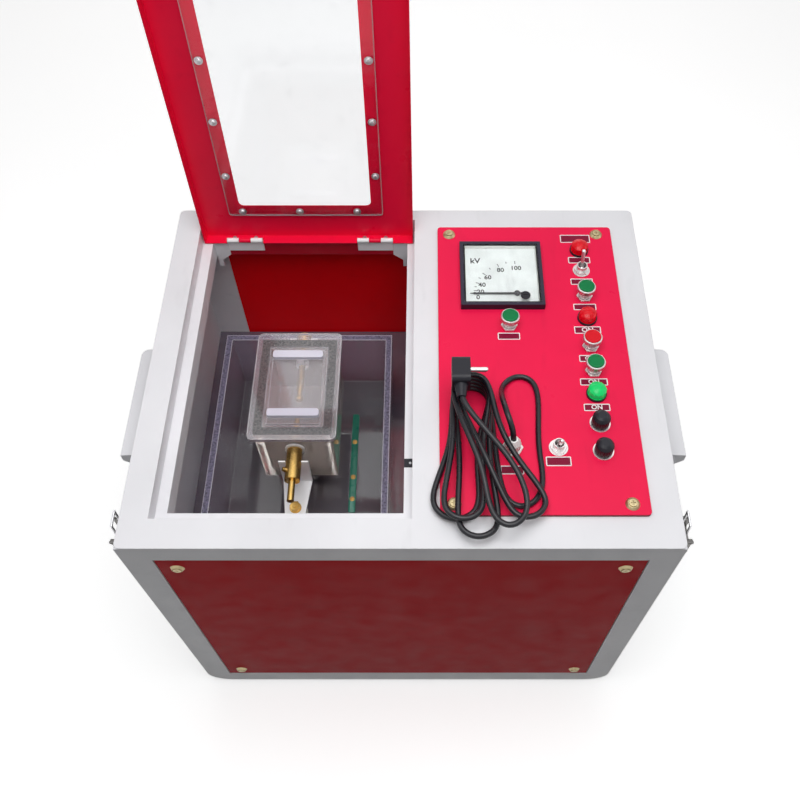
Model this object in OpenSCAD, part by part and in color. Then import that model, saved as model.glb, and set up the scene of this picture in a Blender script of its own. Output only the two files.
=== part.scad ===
// Oil breakdown voltage tester: a sheet steel cabinet with an open test chamber on the left
// and a control panel on the right. Millimetres, +Z up, +Y to the rear, front face at -Y.
// The origin is on the floor, under the middle of the cabinet.

/* [Cabinet] */
// Depth of the cabinet from front to rear
body_d = 450; // [445:5:500]
// Height of the cabinet above its feet
body_h = 475; // [465:5:540]
// Thickness of the cabinet sheet
sheet_t = 2; // [1.5:0.5:2.5]
// Radius of the two long bottom edges
edge_r = 30; // [16:2:30]
// Radius of the top sheet's corners, seen from above
corner_r = 6; // [3:1:10]
// Width of the border round the front and rear panels
border_w = 32; // [26:1:40]
// Height of the rubber feet
foot_h = 8; // [5:1:15]
// Radius of the rubber feet
foot_r = 15; // [10:1:18]
// Distance of the feet from the cabinet's sides
foot_inset = 55; // [50:5:90]

/* [Top] */
// Width of the top's rim left of the lid
left_rim = 29; // [25:1:35]
// Width of the top's rim in front of the lid and the control panel
front_rim = 32; // [26:1:40]
// Width of the top's rim behind the control panel
rear_rim = 32; // [26:1:40]
// Width of the rim behind the lid
lid_rear_rim = 16; // [12:1:16]
// Width of the top's rim right of the control panel
right_rim = 31; // [26:1:36]
// Width of the seat that the lid lies in
seat_w = 262; // [256:2:270]
// Width of the rib between the lid's seat and the control panel
rib_w = 28; // [24:1:34]
// Width of the control panel
panel_w = 210; // [200:2:240]
// Depth of the lid's seat below the rim
seat_h = 20; // [18:1:24]
// Width of the seat's ledge on the left
ledge_left = 12; // [8:1:16]
// Width of the seat's ledge on the right
ledge_right = 9; // [8:1:14]
// Width of the seat's ledge at the front
ledge_front = 15; // [10:1:20]
// Width of the seat's ledge at the rear, where the open lid stands
ledge_rear = 17; // [17:1:22]
// Height of the flange folded down from the seat's ledge
ledge_flange_h = 24; // [22:1:30]

/* [Lid] */
// Depth of the lid's pan
lid_h = 14; // [12:1:15]
// Thickness of the lid's sheet
lid_t = 1.2; // [1:0.1:1.5]
// Gap round the lid in its seat
lid_gap = 2; // [1.5:0.5:3]
// Angle by which the open lid leans back past upright
lid_lean = 3; // [2:0.5:3]
// Width of the lid's window
window_w = 158; // [120:2:170]
// Length of the lid's window
window_l = 285; // [240:5:290]
// Distance of the window from the lid's hinged edge
window_from_hinge = 50; // [46:1:55]
// Overlap of the clear sheet round the window
window_lap = 14; // [12:1:16]
// Thickness of the lid's clear sheet
window_t = 3; // [2:0.5:4]
// Length of each hinge
hinge_l = 44; // [36:2:50]
// Radius of the hinge's knuckle
knuckle_r = 3; // [2.8:0.1:3.2]
// Radius of the hinge pin
hinge_pin_r = 1.5; // [1.2:0.1:1.7]
// Thickness of the hinge leaves
leaf_t = 1.5; // [1.2:0.1:1.6]

/* [Control panel] */
// Height of the control panel's folded edge above the top sheet
panel_rise = 4; // [3:0.5:6]
// Overlap of the control panel on the top sheet
panel_lap = 9; // [7:1:10]
// Width of the meter's square front
meter_w = 96; // [90:1:100]
// Height of the meter's front frame above the panel
meter_front_h = 9; // [8:1:12]
// Depth of the meter's case under the panel
meter_case_h = 52; // [40:2:70]
// Radius of the meter's scale
scale_r = 51; // [46:1:52]
// Radius of the push buttons' heads
button_r = 10.5; // [10:0.5:11.5]
// Height of the push buttons' heads above the panel
button_h = 19; // [17:1:24]
// Travel of the push buttons
button_travel = 2; // [1:0.5:2.5]
// Radius of the indicator lamps
lamp_r = 10; // [8:0.5:11]
// Radius of the toggle switches' bushes
toggle_r = 6; // [5.8:0.1:6.5]
// Length of the toggle levers above the pivot
toggle_l = 26; // [20:1:30]
// Tilt of the toggle levers either way from upright
toggle_tilt = 17; // [10:1:18]
// Radius of the fuse caps
fuse_r = 9.5; // [8:0.5:10.5]
// Height of the fuse caps
fuse_h = 16; // [12:1:20]

/* [Test cell] */
// Depth of the chamber's floor below the top
floor_depth = 250; // [240:5:260]
// Depth of the barrier box's rim below the top
barrier_depth = 140; // [130:5:160]
// Width of the barrier box
barrier_w = 218; // [210:2:220]
// Length of the barrier box
barrier_l = 303; // [300:1:310]
// Thickness of the barrier box's walls
barrier_t = 8; // [5:1:8]
// Width of the oil cup
cup_w = 91; // [86:1:95]
// Length of the oil cup along the electrodes
cup_l = 134; // [126:2:136]
// Height of the oil cup
cup_h = 98; // [90:2:110]
// Thickness of the oil cup's walls
cup_t = 10; // [7:1:11]
// Depth of the cup's cover below the top
cover_depth = 70; // [60:5:80]
// Thickness of the cup's cover
cover_t = 5; // [4:0.5:6]
// Length of the two bars glued across the cover
bar_l = 60; // [40:2:80]
// Width of the bars
bar_w = 10; // [8:1:14]
// Depth of the electrodes' axis below the cup's rim
electrode_depth = 30; // [26:1:36]
// Radius of the electrode rods
rod_r = 4; // [3.5:0.25:4.5]
// Radius of the electrodes' ball tips
tip_r = 4.5; // [4:0.5:6]
// Gap between the electrodes' tips as set in the photo's position
spark_gap = 16; // [8:1:20]
// Radius of the brass collars that hold the rods
collar_r = 9; // [8:0.5:11]
// Length of the brass collars
collar_l = 40; // [30:1:42]
// Thickness of the brackets' sheet
bracket_t = 2; // [1.5:0.5:3]
// Width of the brackets
bracket_w = 35; // [30:1:38]
// Drop of the brackets' feet below the electrodes' axis
bracket_h = 44; // [40:1:48]
// Radius of the high voltage bushings
bushing_r = 11; // [9:0.5:12]

/* [Handles and latches] */
// Length of the side handles
handle_l = 143; // [120:1:160]
// How far the side handles stand out
handle_out = 32; // [28:1:40]
// Distance of the handles from the cabinet's front
handle_from_front = 132; // [120:1:150]
// Depth of the handles' top below the cabinet's top
handle_depth = 50; // [48:1:60]
// Height of the handles
handle_h = 44; // [36:1:55]
// Width of the draw latches
latch_w = 28; // [24:1:32]
// Height of the draw latches' base plates
latch_h = 54; // [50:1:60]
// Distance of the latches' middle from the cabinet's front
latch_from_front = 35; // [30:1:45]

/* [Drive] */
// Radius of the variable transformer's core
variac_r = 72; // [60:1:76]
// Height of the variable transformer's core
variac_h = 60; // [50:2:70]
// Module of the drive gears
gear_module = 1.25; // [1:0.25:1.25]
// Teeth of the gear on the brush shaft
gear_teeth = 54; // [48:1:60]
// Teeth of the motor's pinion
pinion_teeth = 18; // [17:1:20]
// Thickness of the drive gears
gear_t = 8; // [6:1:10]

/* [Cord] */
// Radius of the mains cord
cord_r = 3; // [2.75:0.25:3]
// Radius of the gland's white nut
gland_r = 8.5; // [8:0.5:9]
// Height of the gland above the panel
gland_h = 20; // [18:1:22]

/* [Hidden] */
$fn = 48;

// Gap between parts that sit beside each other without touching
seat_gap = 0.3;
// Gap round a shaft that turns in a bore
running_gap = 0.05;
// A length that makes cuts pass clean through
cut = 1;

body_w = left_rim + seat_w + rib_w + panel_w + right_rim;
top_z = foot_h + body_h;
front_y = -body_d / 2;
rear_y = body_d / 2;
side_x = body_w / 2;

// Lid seat and its opening, seen from above
seat_x0 = -side_x + left_rim;
seat_x1 = seat_x0 + seat_w;
seat_y0 = front_y + front_rim;
seat_y1 = rear_y - lid_rear_rim;
ledge_z = top_z - seat_h;
open_x0 = seat_x0 + ledge_left;
open_x1 = seat_x1 - ledge_right;
open_y0 = seat_y0 + ledge_front;
open_y1 = seat_y1 - ledge_rear;

// Control panel
panel_x0 = seat_x1 + rib_w;
panel_x1 = panel_x0 + panel_w;
panel_y0 = front_y + front_rim + 2;
panel_y1 = rear_y - rear_rim;
panel_d = panel_y1 - panel_y0;
panel_z = top_z + panel_rise;
panel_corner_r = 4;

// Hinge of the lid. The axis lies in front of the ledge's flange and a little above the ledge.
hinge_y = open_y1 - leaf_t - 0.4;
hinge_z = ledge_z + 4;
hinge_inset = 40;
hinge_xs = [open_x0 + hinge_inset, open_x1 - hinge_inset];
knuckle_gap = 0.3;
pan_y0 = seat_y0 + lid_gap;
pan_y1 = hinge_y + leaf_t + 0.1;
pan_z0 = hinge_z - 2.8;
pan_l = pan_y1 + lid_t - pan_y0;
pan_w = seat_w - 2 * lid_gap;
open_turn = 90 + lid_lean;

// Inner floor and partition
partition_x = seat_x1 + 2;
floor_z = top_z - floor_depth;
floor_t = 4;
inner_x0 = -side_x + sheet_t;
inner_x1 = side_x - sheet_t;
inner_y0 = front_y + 2 * sheet_t;
inner_y1 = rear_y - 2 * sheet_t;
base_z = foot_h + sheet_t;

// Front and rear panels
face_w = body_w - 2 * border_w;
face_h = body_h - 2 * border_w + 1;
face_z0 = foot_h + border_w;
face_gap = 1;
face_t = 1.5;
face_sunk = 0.5;
lip_w = 12;

// Interlock switch
switch_y = front_y + 105;
switch_l = 10;
switch_h = 16;

// Test cell, placed by its middle
cell_x = open_x0 + 110;
cell_y = front_y + 237;
cup_top_z = top_z - cover_depth - cover_t;
cup_z = cup_top_z - cup_h;
axis_z = cup_top_z - electrode_depth;
cup_y0 = cell_y - cup_l / 2;
cup_y1 = cell_y + cup_l / 2;
cover_over = 8;
washer_r = 11.5;
washer_t = 2.5;
front_rod_out = 26;
rear_rod_out = 4;
rear_collar_l = 26;
tip_shift = -11;
bracket_from_cup = 20;
foot_z = axis_z - bracket_h;
foot_front_y = cup_y0 - 57;
foot_rear_y = cup_y1 + 34;
barrier_side_clear = 22;
barrier_rear_clear = 4;
barrier_x0 = open_x1 - barrier_side_clear - barrier_w;
barrier_y0 = foot_rear_y + bushing_r + barrier_rear_clear + barrier_t - barrier_l;
barrier_z1 = top_z - barrier_depth;
barrier_z0 = floor_z + floor_t;
bolt_r = 3;

// High voltage transformer under the chamber floor
tank_w = 190;
tank_d = 290;
tank_h = 168;
tank_y = (foot_front_y + foot_rear_y) / 2;

// Control panel items, placed from the panel's right and rear edges
column_x = panel_x1 - 41;
meter_x = panel_x0 + 26 + meter_w / 2;
meter_y = panel_y1 - 31 - meter_w / 2;
hold_y = meter_y - meter_w / 2 - 23;
lamp_ys = [panel_y1 - 38, panel_y1 - 140, panel_y1 - 242];
button_ys = [panel_y1 - 108, panel_y1 - 179, panel_y1 - 212];
toggle_rear_y = panel_y1 - 69;
toggle_front_x = panel_x1 - 87;
toggle_front_y = panel_y0 + 76;
fuse_ys = [panel_y1 - 279, panel_y1 - 312];
gland_x = panel_x0 + 75;
gland_y = panel_y0 + 75;
thread_r = 8;
nut_h = 3;

// Meter
bezel_w = 4;
pivot_x = meter_x + 17;
pivot_y = meter_y - 28;
adjuster_x = meter_x + 26;
adjuster_y = meter_y - 34.6;
dial_z = panel_z + 1.5;
dial_t = 1;
needle_z = dial_z + dial_t + 1.2;
needle_t = 0.8;
needle_l = scale_r + 3;
needle_hub_r = 3.5;
glass_t = 1.5;
glass_z = panel_z + meter_front_h - glass_t - 0.5;
adjuster_r = 4.5;
pivot_pin_r = 1;

// Drive
variac_x = (partition_x + side_x) / 2 + 10;
variac_y = 60;
gear_z = base_z + variac_h + 26;
gear_pitch_r = gear_module * gear_teeth / 2;
pinion_pitch_r = gear_module * pinion_teeth / 2;
motor_y = variac_y - gear_pitch_r - pinion_pitch_r;
shaft_r = 5;
motor_r = 18;
motor_shaft_r = 3;
pressure_angle = 20;
backlash = 0.12;

// Latches
latch_z = top_z - 6 - latch_h;
latch_y = front_y + latch_from_front;
lever_pin_r = 1.6;
lever_pin_out = 14;
lever_t = 1.6;
bail_wire_r = 1.3;
bail_pin_out = lever_pin_out - 4.5;

// Mains cord. Each point is x, distance from the cabinet's front, and layer above the panel.
cord_sides = 10;
cord_layer_h = 6.5;
cord_lead = [
    [114, 109, 1.1], [114, 109, 2.6], [113, 111, 4.6], [107, 123, 6.3], [104, 142, 5.4],
    [104, 160, 3.1], [105, 177, 0.8], [112, 192, 0], [127, 199, 0], [142, 191, 0], [146, 168, 0],
    [140, 112, 0], [144, 80, 0], [141, 54, 0], [124, 39, 0], [105, 46, 0], [99, 72, 0],
    [97, 100, 0], [94, 135, 0], [94, 162, 0], [88, 178, 0], [73, 184, 0], [58, 178, 0],
    [52, 162, 0]];
cord_tail = [
    [60, 124, 5.2], [80, 75, 4.5], [84, 44, 3.3], [90, 20, 3], [105, 10, 3], [121, 20, 3],
    [125, 42, 3.4], [112, 74, 4.8], [86, 106, 5.8], [67, 130, 6.4], [61, 143, 6.5],
    [61, 153, 6.5]];

// The hank's turns fan out from one rounded rear end. Each turn has its front end's place and
// radius, how far its left and right runs bow out, and the layers of its rear end, left run,
// front end and right run.
hank_rear = [73, 163];
hank_rear_r = 21;
hank_turns = [
    [[55, 52], 26, [12, 10], [1, 0.5, 0, 0.8]],
    [[76, 27], 22, [13, 12], [2, 1.6, 1, 1.9]],
    [[62, 43], 22, [13, 12], [3, 2.6, 2, 2.8]],
    [[124, 46], 21, [20, 1], [4, 4.3, 1.2, 3.7]]];

// Right-angle plug that rests on the hank
plug_w = 19;
plug_l = 30;
plug_h = 26;
plug_x = 61;
plug_y0 = front_y + 157;
plug_layer = 6.5;
plug_z = panel_z + cord_r + plug_layer * cord_layer_h - plug_h / 2;
plug_neck_l = 14;
pin_l = 18;
pin_r = 2.2;
pin_pitch = 19;
pin_lean = 32;

module rounded_rect(w, d, r) {
    square([w - 2 * r, d], center = true);
    square([w, d - 2 * r], center = true);
    for (sx = [-1, 1], sy = [-1, 1])
        translate([sx * (w / 2 - r), sy * (d / 2 - r)])
            circle(r = r);
}

// A block given by its lowest and highest corners
module block(low, high) {
    translate(low)
        cube(high - low);
}

// Draws its children in the x-z plane and gives them depth along +Y
module along_depth(from_y, depth) {
    translate([0, from_y + depth, 0])
        rotate([90, 0, 0])
            linear_extrude(depth)
                children();
}

// Draws its children in the y-z plane and gives them depth along +X
module along_width(from_x, width) {
    translate([from_x, 0, 0])
        rotate([90, 0, 90])
            linear_extrude(width)
                children();
}

// Turns its children from the lid's closed place to its open place
module lid_opened() {
    translate([0, hinge_y, hinge_z])
        rotate([-open_turn, 0, 0])
            translate([0, -hinge_y, -hinge_z])
                children();
}

module cabinet_outline(inset) {
    bottom = foot_h + inset;
    r = edge_r - inset;
    translate([-side_x + inset, foot_h + edge_r])
        square([body_w - 2 * inset, body_h - edge_r - sheet_t]);
    translate([-side_x + edge_r, bottom])
        square([body_w - 2 * edge_r, edge_r]);
    for (sx = [-1, 1])
        translate([sx * (side_x - edge_r), foot_h + edge_r])
            circle(r = r);
}

module face_opening(grow) {
    translate([-face_w / 2 - grow, face_z0 - grow])
        square([face_w + 2 * grow, face_h + 2 * grow]);
}

module cabinet() {
    color("whitesmoke") {
        difference() {
            along_depth(front_y, body_d)
                cabinet_outline(0);
            along_depth(front_y + 2 * sheet_t, body_d - 4 * sheet_t)
                cabinet_outline(sheet_t);
            block([inner_x0, inner_y0, top_z - sheet_t - 40],
                [inner_x1, inner_y1, top_z + cut]);
            along_depth(front_y - cut, face_t + face_sunk + cut)
                face_opening(face_gap);
            along_depth(rear_y - face_t - face_sunk, face_t + face_sunk + cut)
                face_opening(face_gap);
            along_depth(front_y - cut, body_d + 2 * cut)
                face_opening(-lip_w);
        }
    }
}

module face_plate() {
    translate([-face_w / 2, face_z0])
        square([face_w, face_h]);
}

module front_panel() {
    color("crimson")
        along_depth(front_y + face_sunk, face_t)
            face_plate();
}

module rear_panel() {
    color("crimson")
        along_depth(rear_y - face_sunk - face_t, face_t)
            face_plate();
}

// Top sheet with the lid's seat hanging in it
module top_frame() {
    panel_open_x0 = panel_x0 + panel_lap;
    panel_open_x1 = panel_x1 - panel_lap;
    panel_open_y0 = panel_y0 + panel_lap;
    panel_open_y1 = panel_y1 - panel_lap;
    flange_z = ledge_z - ledge_flange_h;
    color("whitesmoke") {
        difference() {
            union() {
                translate([0, 0, top_z - sheet_t])
                    linear_extrude(sheet_t)
                        rounded_rect(body_w, body_d, corner_r);
                block([seat_x0 - sheet_t, seat_y0 - sheet_t, ledge_z - sheet_t],
                    [seat_x1 + sheet_t, seat_y1 + sheet_t, top_z - cut]);
                block([open_x0 - sheet_t, open_y0 - sheet_t, flange_z],
                    [open_x1 + sheet_t, open_y1 + sheet_t, ledge_z - sheet_t / 2]);
            }
            block([seat_x0, seat_y0, ledge_z], [seat_x1, seat_y1, top_z + cut]);
            block([open_x0, open_y0, flange_z - cut], [open_x1, open_y1, top_z + cut]);
            block([panel_open_x0, panel_open_y0, top_z - sheet_t - cut],
                [panel_open_x1, panel_open_y1, top_z + cut]);
            block([open_x1 - cut, switch_y - switch_l / 2 - seat_gap, ledge_z - switch_h - seat_gap],
                [seat_x1, switch_y + switch_l / 2 + seat_gap, top_z - sheet_t - cut]);
        }
        for (side = [0, 1])
            gusset(side);
    }
}

// Corner plate under the rear ledge, with a cut corner
gusset_w = 18;
gusset_h = 44;
module gusset(side) {
    x0 = side == 0 ? open_x0 : open_x1;
    turn = side == 0 ? 1 : -1;
    translate([x0, open_y1 - sheet_t, 0])
        along_depth(0, sheet_t)
            polygon([[0, ledge_z - gusset_h], [turn * gusset_w / 3, ledge_z - gusset_h],
                [turn * gusset_w / 3, ledge_z - ledge_flange_h - 8],
                [turn * gusset_w, ledge_z - ledge_flange_h + 2],
                [turn * gusset_w, ledge_z], [0, ledge_z]]);
}

module partition() {
    color("gainsboro")
        block([partition_x, inner_y0, base_z],
            [partition_x + sheet_t, inner_y1, top_z - sheet_t]);
}

module chamber_floor() {
    color("dimgray")
        difference() {
            block([inner_x0, inner_y0, floor_z], [partition_x, inner_y1, floor_z + floor_t]);
            for (y = [foot_front_y, foot_rear_y])
                translate([cell_x, y, floor_z - cut])
                    cylinder(h = floor_t + 2 * cut, r = bushing_r + seat_gap);
        }
}

module control_outline(inset) {
    translate([(panel_x0 + panel_x1) / 2, (panel_y0 + panel_y1) / 2])
        rounded_rect(panel_w - 2 * inset, panel_d - 2 * inset, panel_corner_r - inset);
}

module control_panel() {
    hole_z = top_z - cut;
    hole_h = panel_rise + 2 * cut;
    color("crimson")
        difference() {
            translate([0, 0, top_z])
                linear_extrude(panel_rise)
                    control_outline(0);
            translate([0, 0, top_z - cut])
                linear_extrude(panel_rise - sheet_t + cut)
                    control_outline(sheet_t);
            translate([meter_x, meter_y, hole_z])
                linear_extrude(hole_h)
                    square(meter_w - 2 * bezel_w + 1, center = true);
            for (p = button_places())
                translate([p[0], p[1], hole_z])
                    cylinder(h = hole_h, r = thread_r + seat_gap);
            for (y = lamp_ys)
                translate([column_x, y, hole_z])
                    cylinder(h = hole_h, r = lamp_r - 2 + seat_gap);
            for (p = toggle_places())
                translate([p[0], p[1], hole_z])
                    cylinder(h = hole_h, r = toggle_r + seat_gap);
            for (y = fuse_ys)
                translate([column_x, y, hole_z])
                    cylinder(h = hole_h, r = fuse_r - 2 + seat_gap);
            translate([gland_x, gland_y, hole_z])
                cylinder(h = hole_h, r = gland_r - 1.5 + seat_gap);
        }
}

function button_places() = concat([[meter_x + 6, hold_y]], [for (y = button_ys) [column_x, y]]);
function toggle_places() = [[column_x, toggle_rear_y], [toggle_front_x, toggle_front_y]];

// Countersunk cup washer with its screw, standing on z = 0
screw_cup_r = 7.5;
module cup_screw() {
    head_r = 4.2;
    difference() {
        union() {
            cylinder(h = 2.6, r1 = screw_cup_r, r2 = screw_cup_r - 2);
            cylinder(h = 3.2, r = head_r);
        }
        translate([0, 0, 1.6])
            difference() {
                cylinder(h = 2, r = screw_cup_r - 2.4);
                translate([0, 0, -cut])
                    cylinder(h = 2 + 2 * cut, r = head_r);
            }
        for (turn = [0, 90])
            rotate([0, 0, turn])
                translate([0, 0, 3])
                    cube([5, 1, 1.6], center = true);
    }
}

module panel_screws() {
    inset = 19;
    color("khaki") {
        for (sx = [-1, 1], top = [0, 1], rear = [0, 1]) {
            y = rear == 0 ? front_y + face_sunk : rear_y - face_sunk;
            z = top == 0 ? face_z0 + inset : face_z0 + face_h - inset - 2;
            translate([sx * (face_w / 2 - inset), y, z])
                rotate([rear == 0 ? 90 : -90, 0, 0])
                    cup_screw();
        }
        for (x = [panel_x0 + 14, panel_x1 - 18], y = [panel_y0 + 12, panel_y1 - 12])
            translate([x, y, panel_z])
                cup_screw();
    }
}

module feet() {
    color("black")
        for (sx = [-1, 1], sy = [-1, 1])
            translate([sx * (side_x - foot_inset), sy * (body_d / 2 - foot_inset), 0])
                difference() {
                    cylinder(h = foot_h, r1 = foot_r - 2, r2 = foot_r);
                    translate([0, 0, -cut])
                        cylinder(h = foot_h / 2 + cut, r = 4);
                }
}

// Sheet hood that the fingers reach into from below, drawn on the right side
module handle_hood() {
    y0 = front_y + handle_from_front;
    z1 = top_z - handle_depth;
    lip_h = 14;
    round_r = 8;
    difference() {
        along_depth(y0, handle_l)
            polygon([[side_x, z1], [side_x + handle_out, z1 - 3],
                [side_x + handle_out, z1 - lip_h], [side_x, z1 - handle_h]]);
        along_depth(y0 + sheet_t, handle_l - 2 * sheet_t)
            polygon([[side_x - cut, z1 - sheet_t], [side_x + handle_out - sheet_t, z1 - 3 - sheet_t],
                [side_x + handle_out - sheet_t, z1 - handle_h - cut],
                [side_x - cut, z1 - handle_h - cut]]);
        translate([side_x + handle_out - round_r, y0 + handle_l - round_r, z1 - handle_h - cut])
            difference() {
                cube([round_r + cut, round_r + cut, handle_h + 2 * cut]);
                translate([0, 0, -cut])
                    cylinder(h = handle_h + 4 * cut, r = round_r);
            }
    }
    difference() {
        translate([side_x + handle_out - round_r, y0 + handle_l - round_r, z1 - lip_h])
            cylinder(h = lip_h - 4, r = round_r);
        translate([side_x + handle_out - round_r, y0 + handle_l - round_r, z1 - lip_h - cut])
            cylinder(h = lip_h + 2 * cut, r = round_r - sheet_t);
        block([side_x - cut, y0, z1 - handle_h], [side_x + handle_out - round_r, rear_y, z1]);
        block([side_x - cut, y0, z1 - handle_h],
            [side_x + handle_out + cut, y0 + handle_l - round_r, z1]);
    }
}

module side_handles() {
    color("whitesmoke") {
        handle_hood();
        mirror([1, 0, 0])
            handle_hood();
    }
}

// Draw latch on the right side: plate with two ears, lever and wire bail
lever_z = latch_z + 24;
bail_pin_z = lever_z - 9;
module latch_base() {
    ear_t = 1.6;
    block([side_x, latch_y - latch_w / 2, latch_z],
        [side_x + 1.6, latch_y + latch_w / 2, latch_z + latch_h]);
    for (sy = [-1, 1])
        difference() {
            hull() {
                translate([side_x + lever_pin_out, latch_y + sy * (latch_w / 2 - ear_t / 2), lever_z])
                    rotate([90, 0, 0])
                        cylinder(h = ear_t, r = 4, center = true, $fn = 32);
                block([side_x, latch_y + sy * (latch_w / 2 - ear_t / 2) - ear_t / 2, lever_z - 8],
                    [side_x + 1.6, latch_y + sy * (latch_w / 2 - ear_t / 2) + ear_t / 2, lever_z + 8]);
            }
            translate([side_x + lever_pin_out, latch_y, lever_z])
                rotate([90, 0, 0])
                    cylinder(h = latch_w + 2, r = lever_pin_r + running_gap, center = true);
        }
}

// Two arms on stub pins in the ears, joined by the plate that the thumb lifts
module latch_lever() {
    half = latch_w / 2 - 1.6 - seat_gap;
    arm_y = half - lever_t / 2;
    plate_x = side_x + lever_pin_out + 1.8;
    difference() {
        for (sy = [-1, 1]) {
            block([side_x + 2.2, latch_y + sy * arm_y - lever_t / 2, lever_z - 14],
                [plate_x + lever_t, latch_y + sy * arm_y + lever_t / 2, lever_z]);
            translate([side_x + lever_pin_out, latch_y + sy * arm_y, lever_z])
                rotate([90, 0, 0])
                    cylinder(h = lever_t, r = 3.4, center = true);
        }
        translate([side_x + bail_pin_out, latch_y, bail_pin_z])
            rotate([90, 0, 0])
                cylinder(h = latch_w + 2, r = bail_wire_r + running_gap, center = true);
    }
    for (sy = [-1, 1])
        translate([side_x + lever_pin_out, latch_y + sy * (half + 0.1), lever_z])
            rotate([90, 0, 0])
                cylinder(h = 3, r = lever_pin_r, center = true);
    block([plate_x, latch_y - half, lever_z - 26], [plate_x + lever_t, latch_y + half, lever_z - 12.5]);
    translate([plate_x + lever_t / 2, latch_y, lever_z - 26])
        rotate([90, 0, 0])
            cylinder(h = 2 * half, r = lever_t, center = true);
}

// Wire loop that stands on its pins between the lever's arms
module latch_bail() {
    half = 8;
    pin_end = latch_w / 2 - 1.6 - 2 * seat_gap;
    loop_h = 38;
    lean = 2;
    translate([side_x + bail_pin_out, latch_y, bail_pin_z])
        rotate([0, -lean, 0]) {
            for (sy = [-1, 1]) {
                translate([0, sy * half, 0]) {
                    cylinder(h = loop_h, r = bail_wire_r);
                    rotate([sy * -90, 0, 0])
                        cylinder(h = pin_end - half, r = bail_wire_r);
                    sphere(r = bail_wire_r);
                }
                translate([0, sy * half, loop_h])
                    sphere(r = bail_wire_r);
            }
            translate([0, 0, loop_h])
                rotate([90, 0, 0])
                    cylinder(h = 2 * half, r = bail_wire_r, center = true);
        }
}

module latch_bases() {
    color("dimgray") {
        latch_base();
        mirror([1, 0, 0])
            latch_base();
    }
}

module latch_lever_right() {
    color("silver")
        latch_lever();
}

module latch_lever_left() {
    color("silver")
        mirror([1, 0, 0])
            latch_lever();
}

module latch_bail_right() {
    color("silver")
        latch_bail();
}

module latch_bail_left() {
    color("silver")
        mirror([1, 0, 0])
            latch_bail();
}

// Lid in its closed place; the lid's pieces are drawn there and opened
window_x = (seat_x0 + seat_x1) / 2;
window_y = pan_y1 - window_from_hinge - window_l / 2;
module lid_pan() {
    color("crimson")
        lid_opened()
            difference() {
                translate([seat_x0 + lid_gap, pan_y0, pan_z0])
                    cube([pan_w, pan_l, lid_h]);
                translate([seat_x0 + lid_gap + lid_t, pan_y0 + lid_t, pan_z0 - cut])
                    cube([pan_w - 2 * lid_t, pan_l - 2 * lid_t, lid_h - lid_t + cut]);
                translate([window_x, window_y, pan_z0])
                    linear_extrude(lid_h + cut)
                        rounded_rect(window_w, window_l, 6);
                for (x = hinge_xs)
                    block([x - hinge_l / 2 - seat_gap, pan_y1 - cut, pan_z0 - cut],
                        [x + hinge_l / 2 + seat_gap, pan_y1 + lid_t + cut,
                            hinge_z + knuckle_r + seat_gap]);
            }
}

module lid_window() {
    color("lightsteelblue", 0.4)
        lid_opened()
            translate([window_x, window_y, pan_z0 + lid_h - lid_t - window_t])
                linear_extrude(window_t)
                    rounded_rect(window_w + 2 * window_lap, window_l + 2 * window_lap, 4);
}

// Two outer knuckles and the pin stay on the frame, the middle knuckle turns with the lid
leaf_h = 16;
third = hinge_l / 3;
module knuckle(x, length) {
    translate([x, hinge_y, hinge_z])
        rotate([0, 90, 0])
            difference() {
                cylinder(h = length, r = knuckle_r);
                translate([0, 0, -cut])
                    cylinder(h = length + 2 * cut, r = hinge_pin_r + running_gap);
            }
}

module hinge_frame_leaves() {
    leaf_y = open_y1 - leaf_t;
    color("whitesmoke")
        for (x = hinge_xs) {
            x0 = x - hinge_l / 2;
            for (k = [0, 2])
                knuckle(x0 + k * third, third - knuckle_gap);
            block([x0, leaf_y, hinge_z - knuckle_r - leaf_h],
                [x0 + hinge_l - knuckle_gap, open_y1, hinge_z - knuckle_r - seat_gap]);
            for (k = [0, 2])
                block([x0 + k * third, leaf_y, hinge_z - knuckle_r - leaf_h],
                    [x0 + (k + 1) * third - knuckle_gap, open_y1,
                        hinge_z - hinge_pin_r - 0.6]);
            translate([x0 + knuckle_gap, hinge_y, hinge_z])
                rotate([0, 90, 0])
                    cylinder(h = hinge_l - 3 * knuckle_gap, r = hinge_pin_r);
        }
}

module hinge_lid_leaves() {
    leaf_y = hinge_y + 0.1;
    color("crimson")
        lid_opened()
            for (x = hinge_xs) {
                x0 = x - hinge_l / 2;
                knuckle(x0 + third, third - knuckle_gap);
                block([x0 + third, leaf_y, hinge_z + hinge_pin_r + 0.6],
                    [x0 + 2 * third - knuckle_gap, leaf_y + leaf_t, pan_z0 + lid_h - lid_t - 1]);
                block([x0, leaf_y, hinge_z + knuckle_r + seat_gap],
                    [x0 + hinge_l - knuckle_gap, leaf_y + leaf_t, pan_z0 + lid_h - lid_t - 1]);
            }
}

module barrier_box() {
    color("lavender", 0.4)
        difference() {
            block([barrier_x0, barrier_y0, barrier_z0],
                [barrier_x0 + barrier_w, barrier_y0 + barrier_l, barrier_z1]);
            block([barrier_x0 + barrier_t, barrier_y0 + barrier_t, barrier_z0 + barrier_t],
                [barrier_x0 + barrier_w - barrier_t, barrier_y0 + barrier_l - barrier_t,
                    barrier_z1 + cut]);
            for (y = [foot_front_y, foot_rear_y])
                translate([cell_x, y, barrier_z0 - cut])
                    cylinder(h = barrier_t + 2 * cut, r = bushing_r + seat_gap);
        }
}

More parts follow.
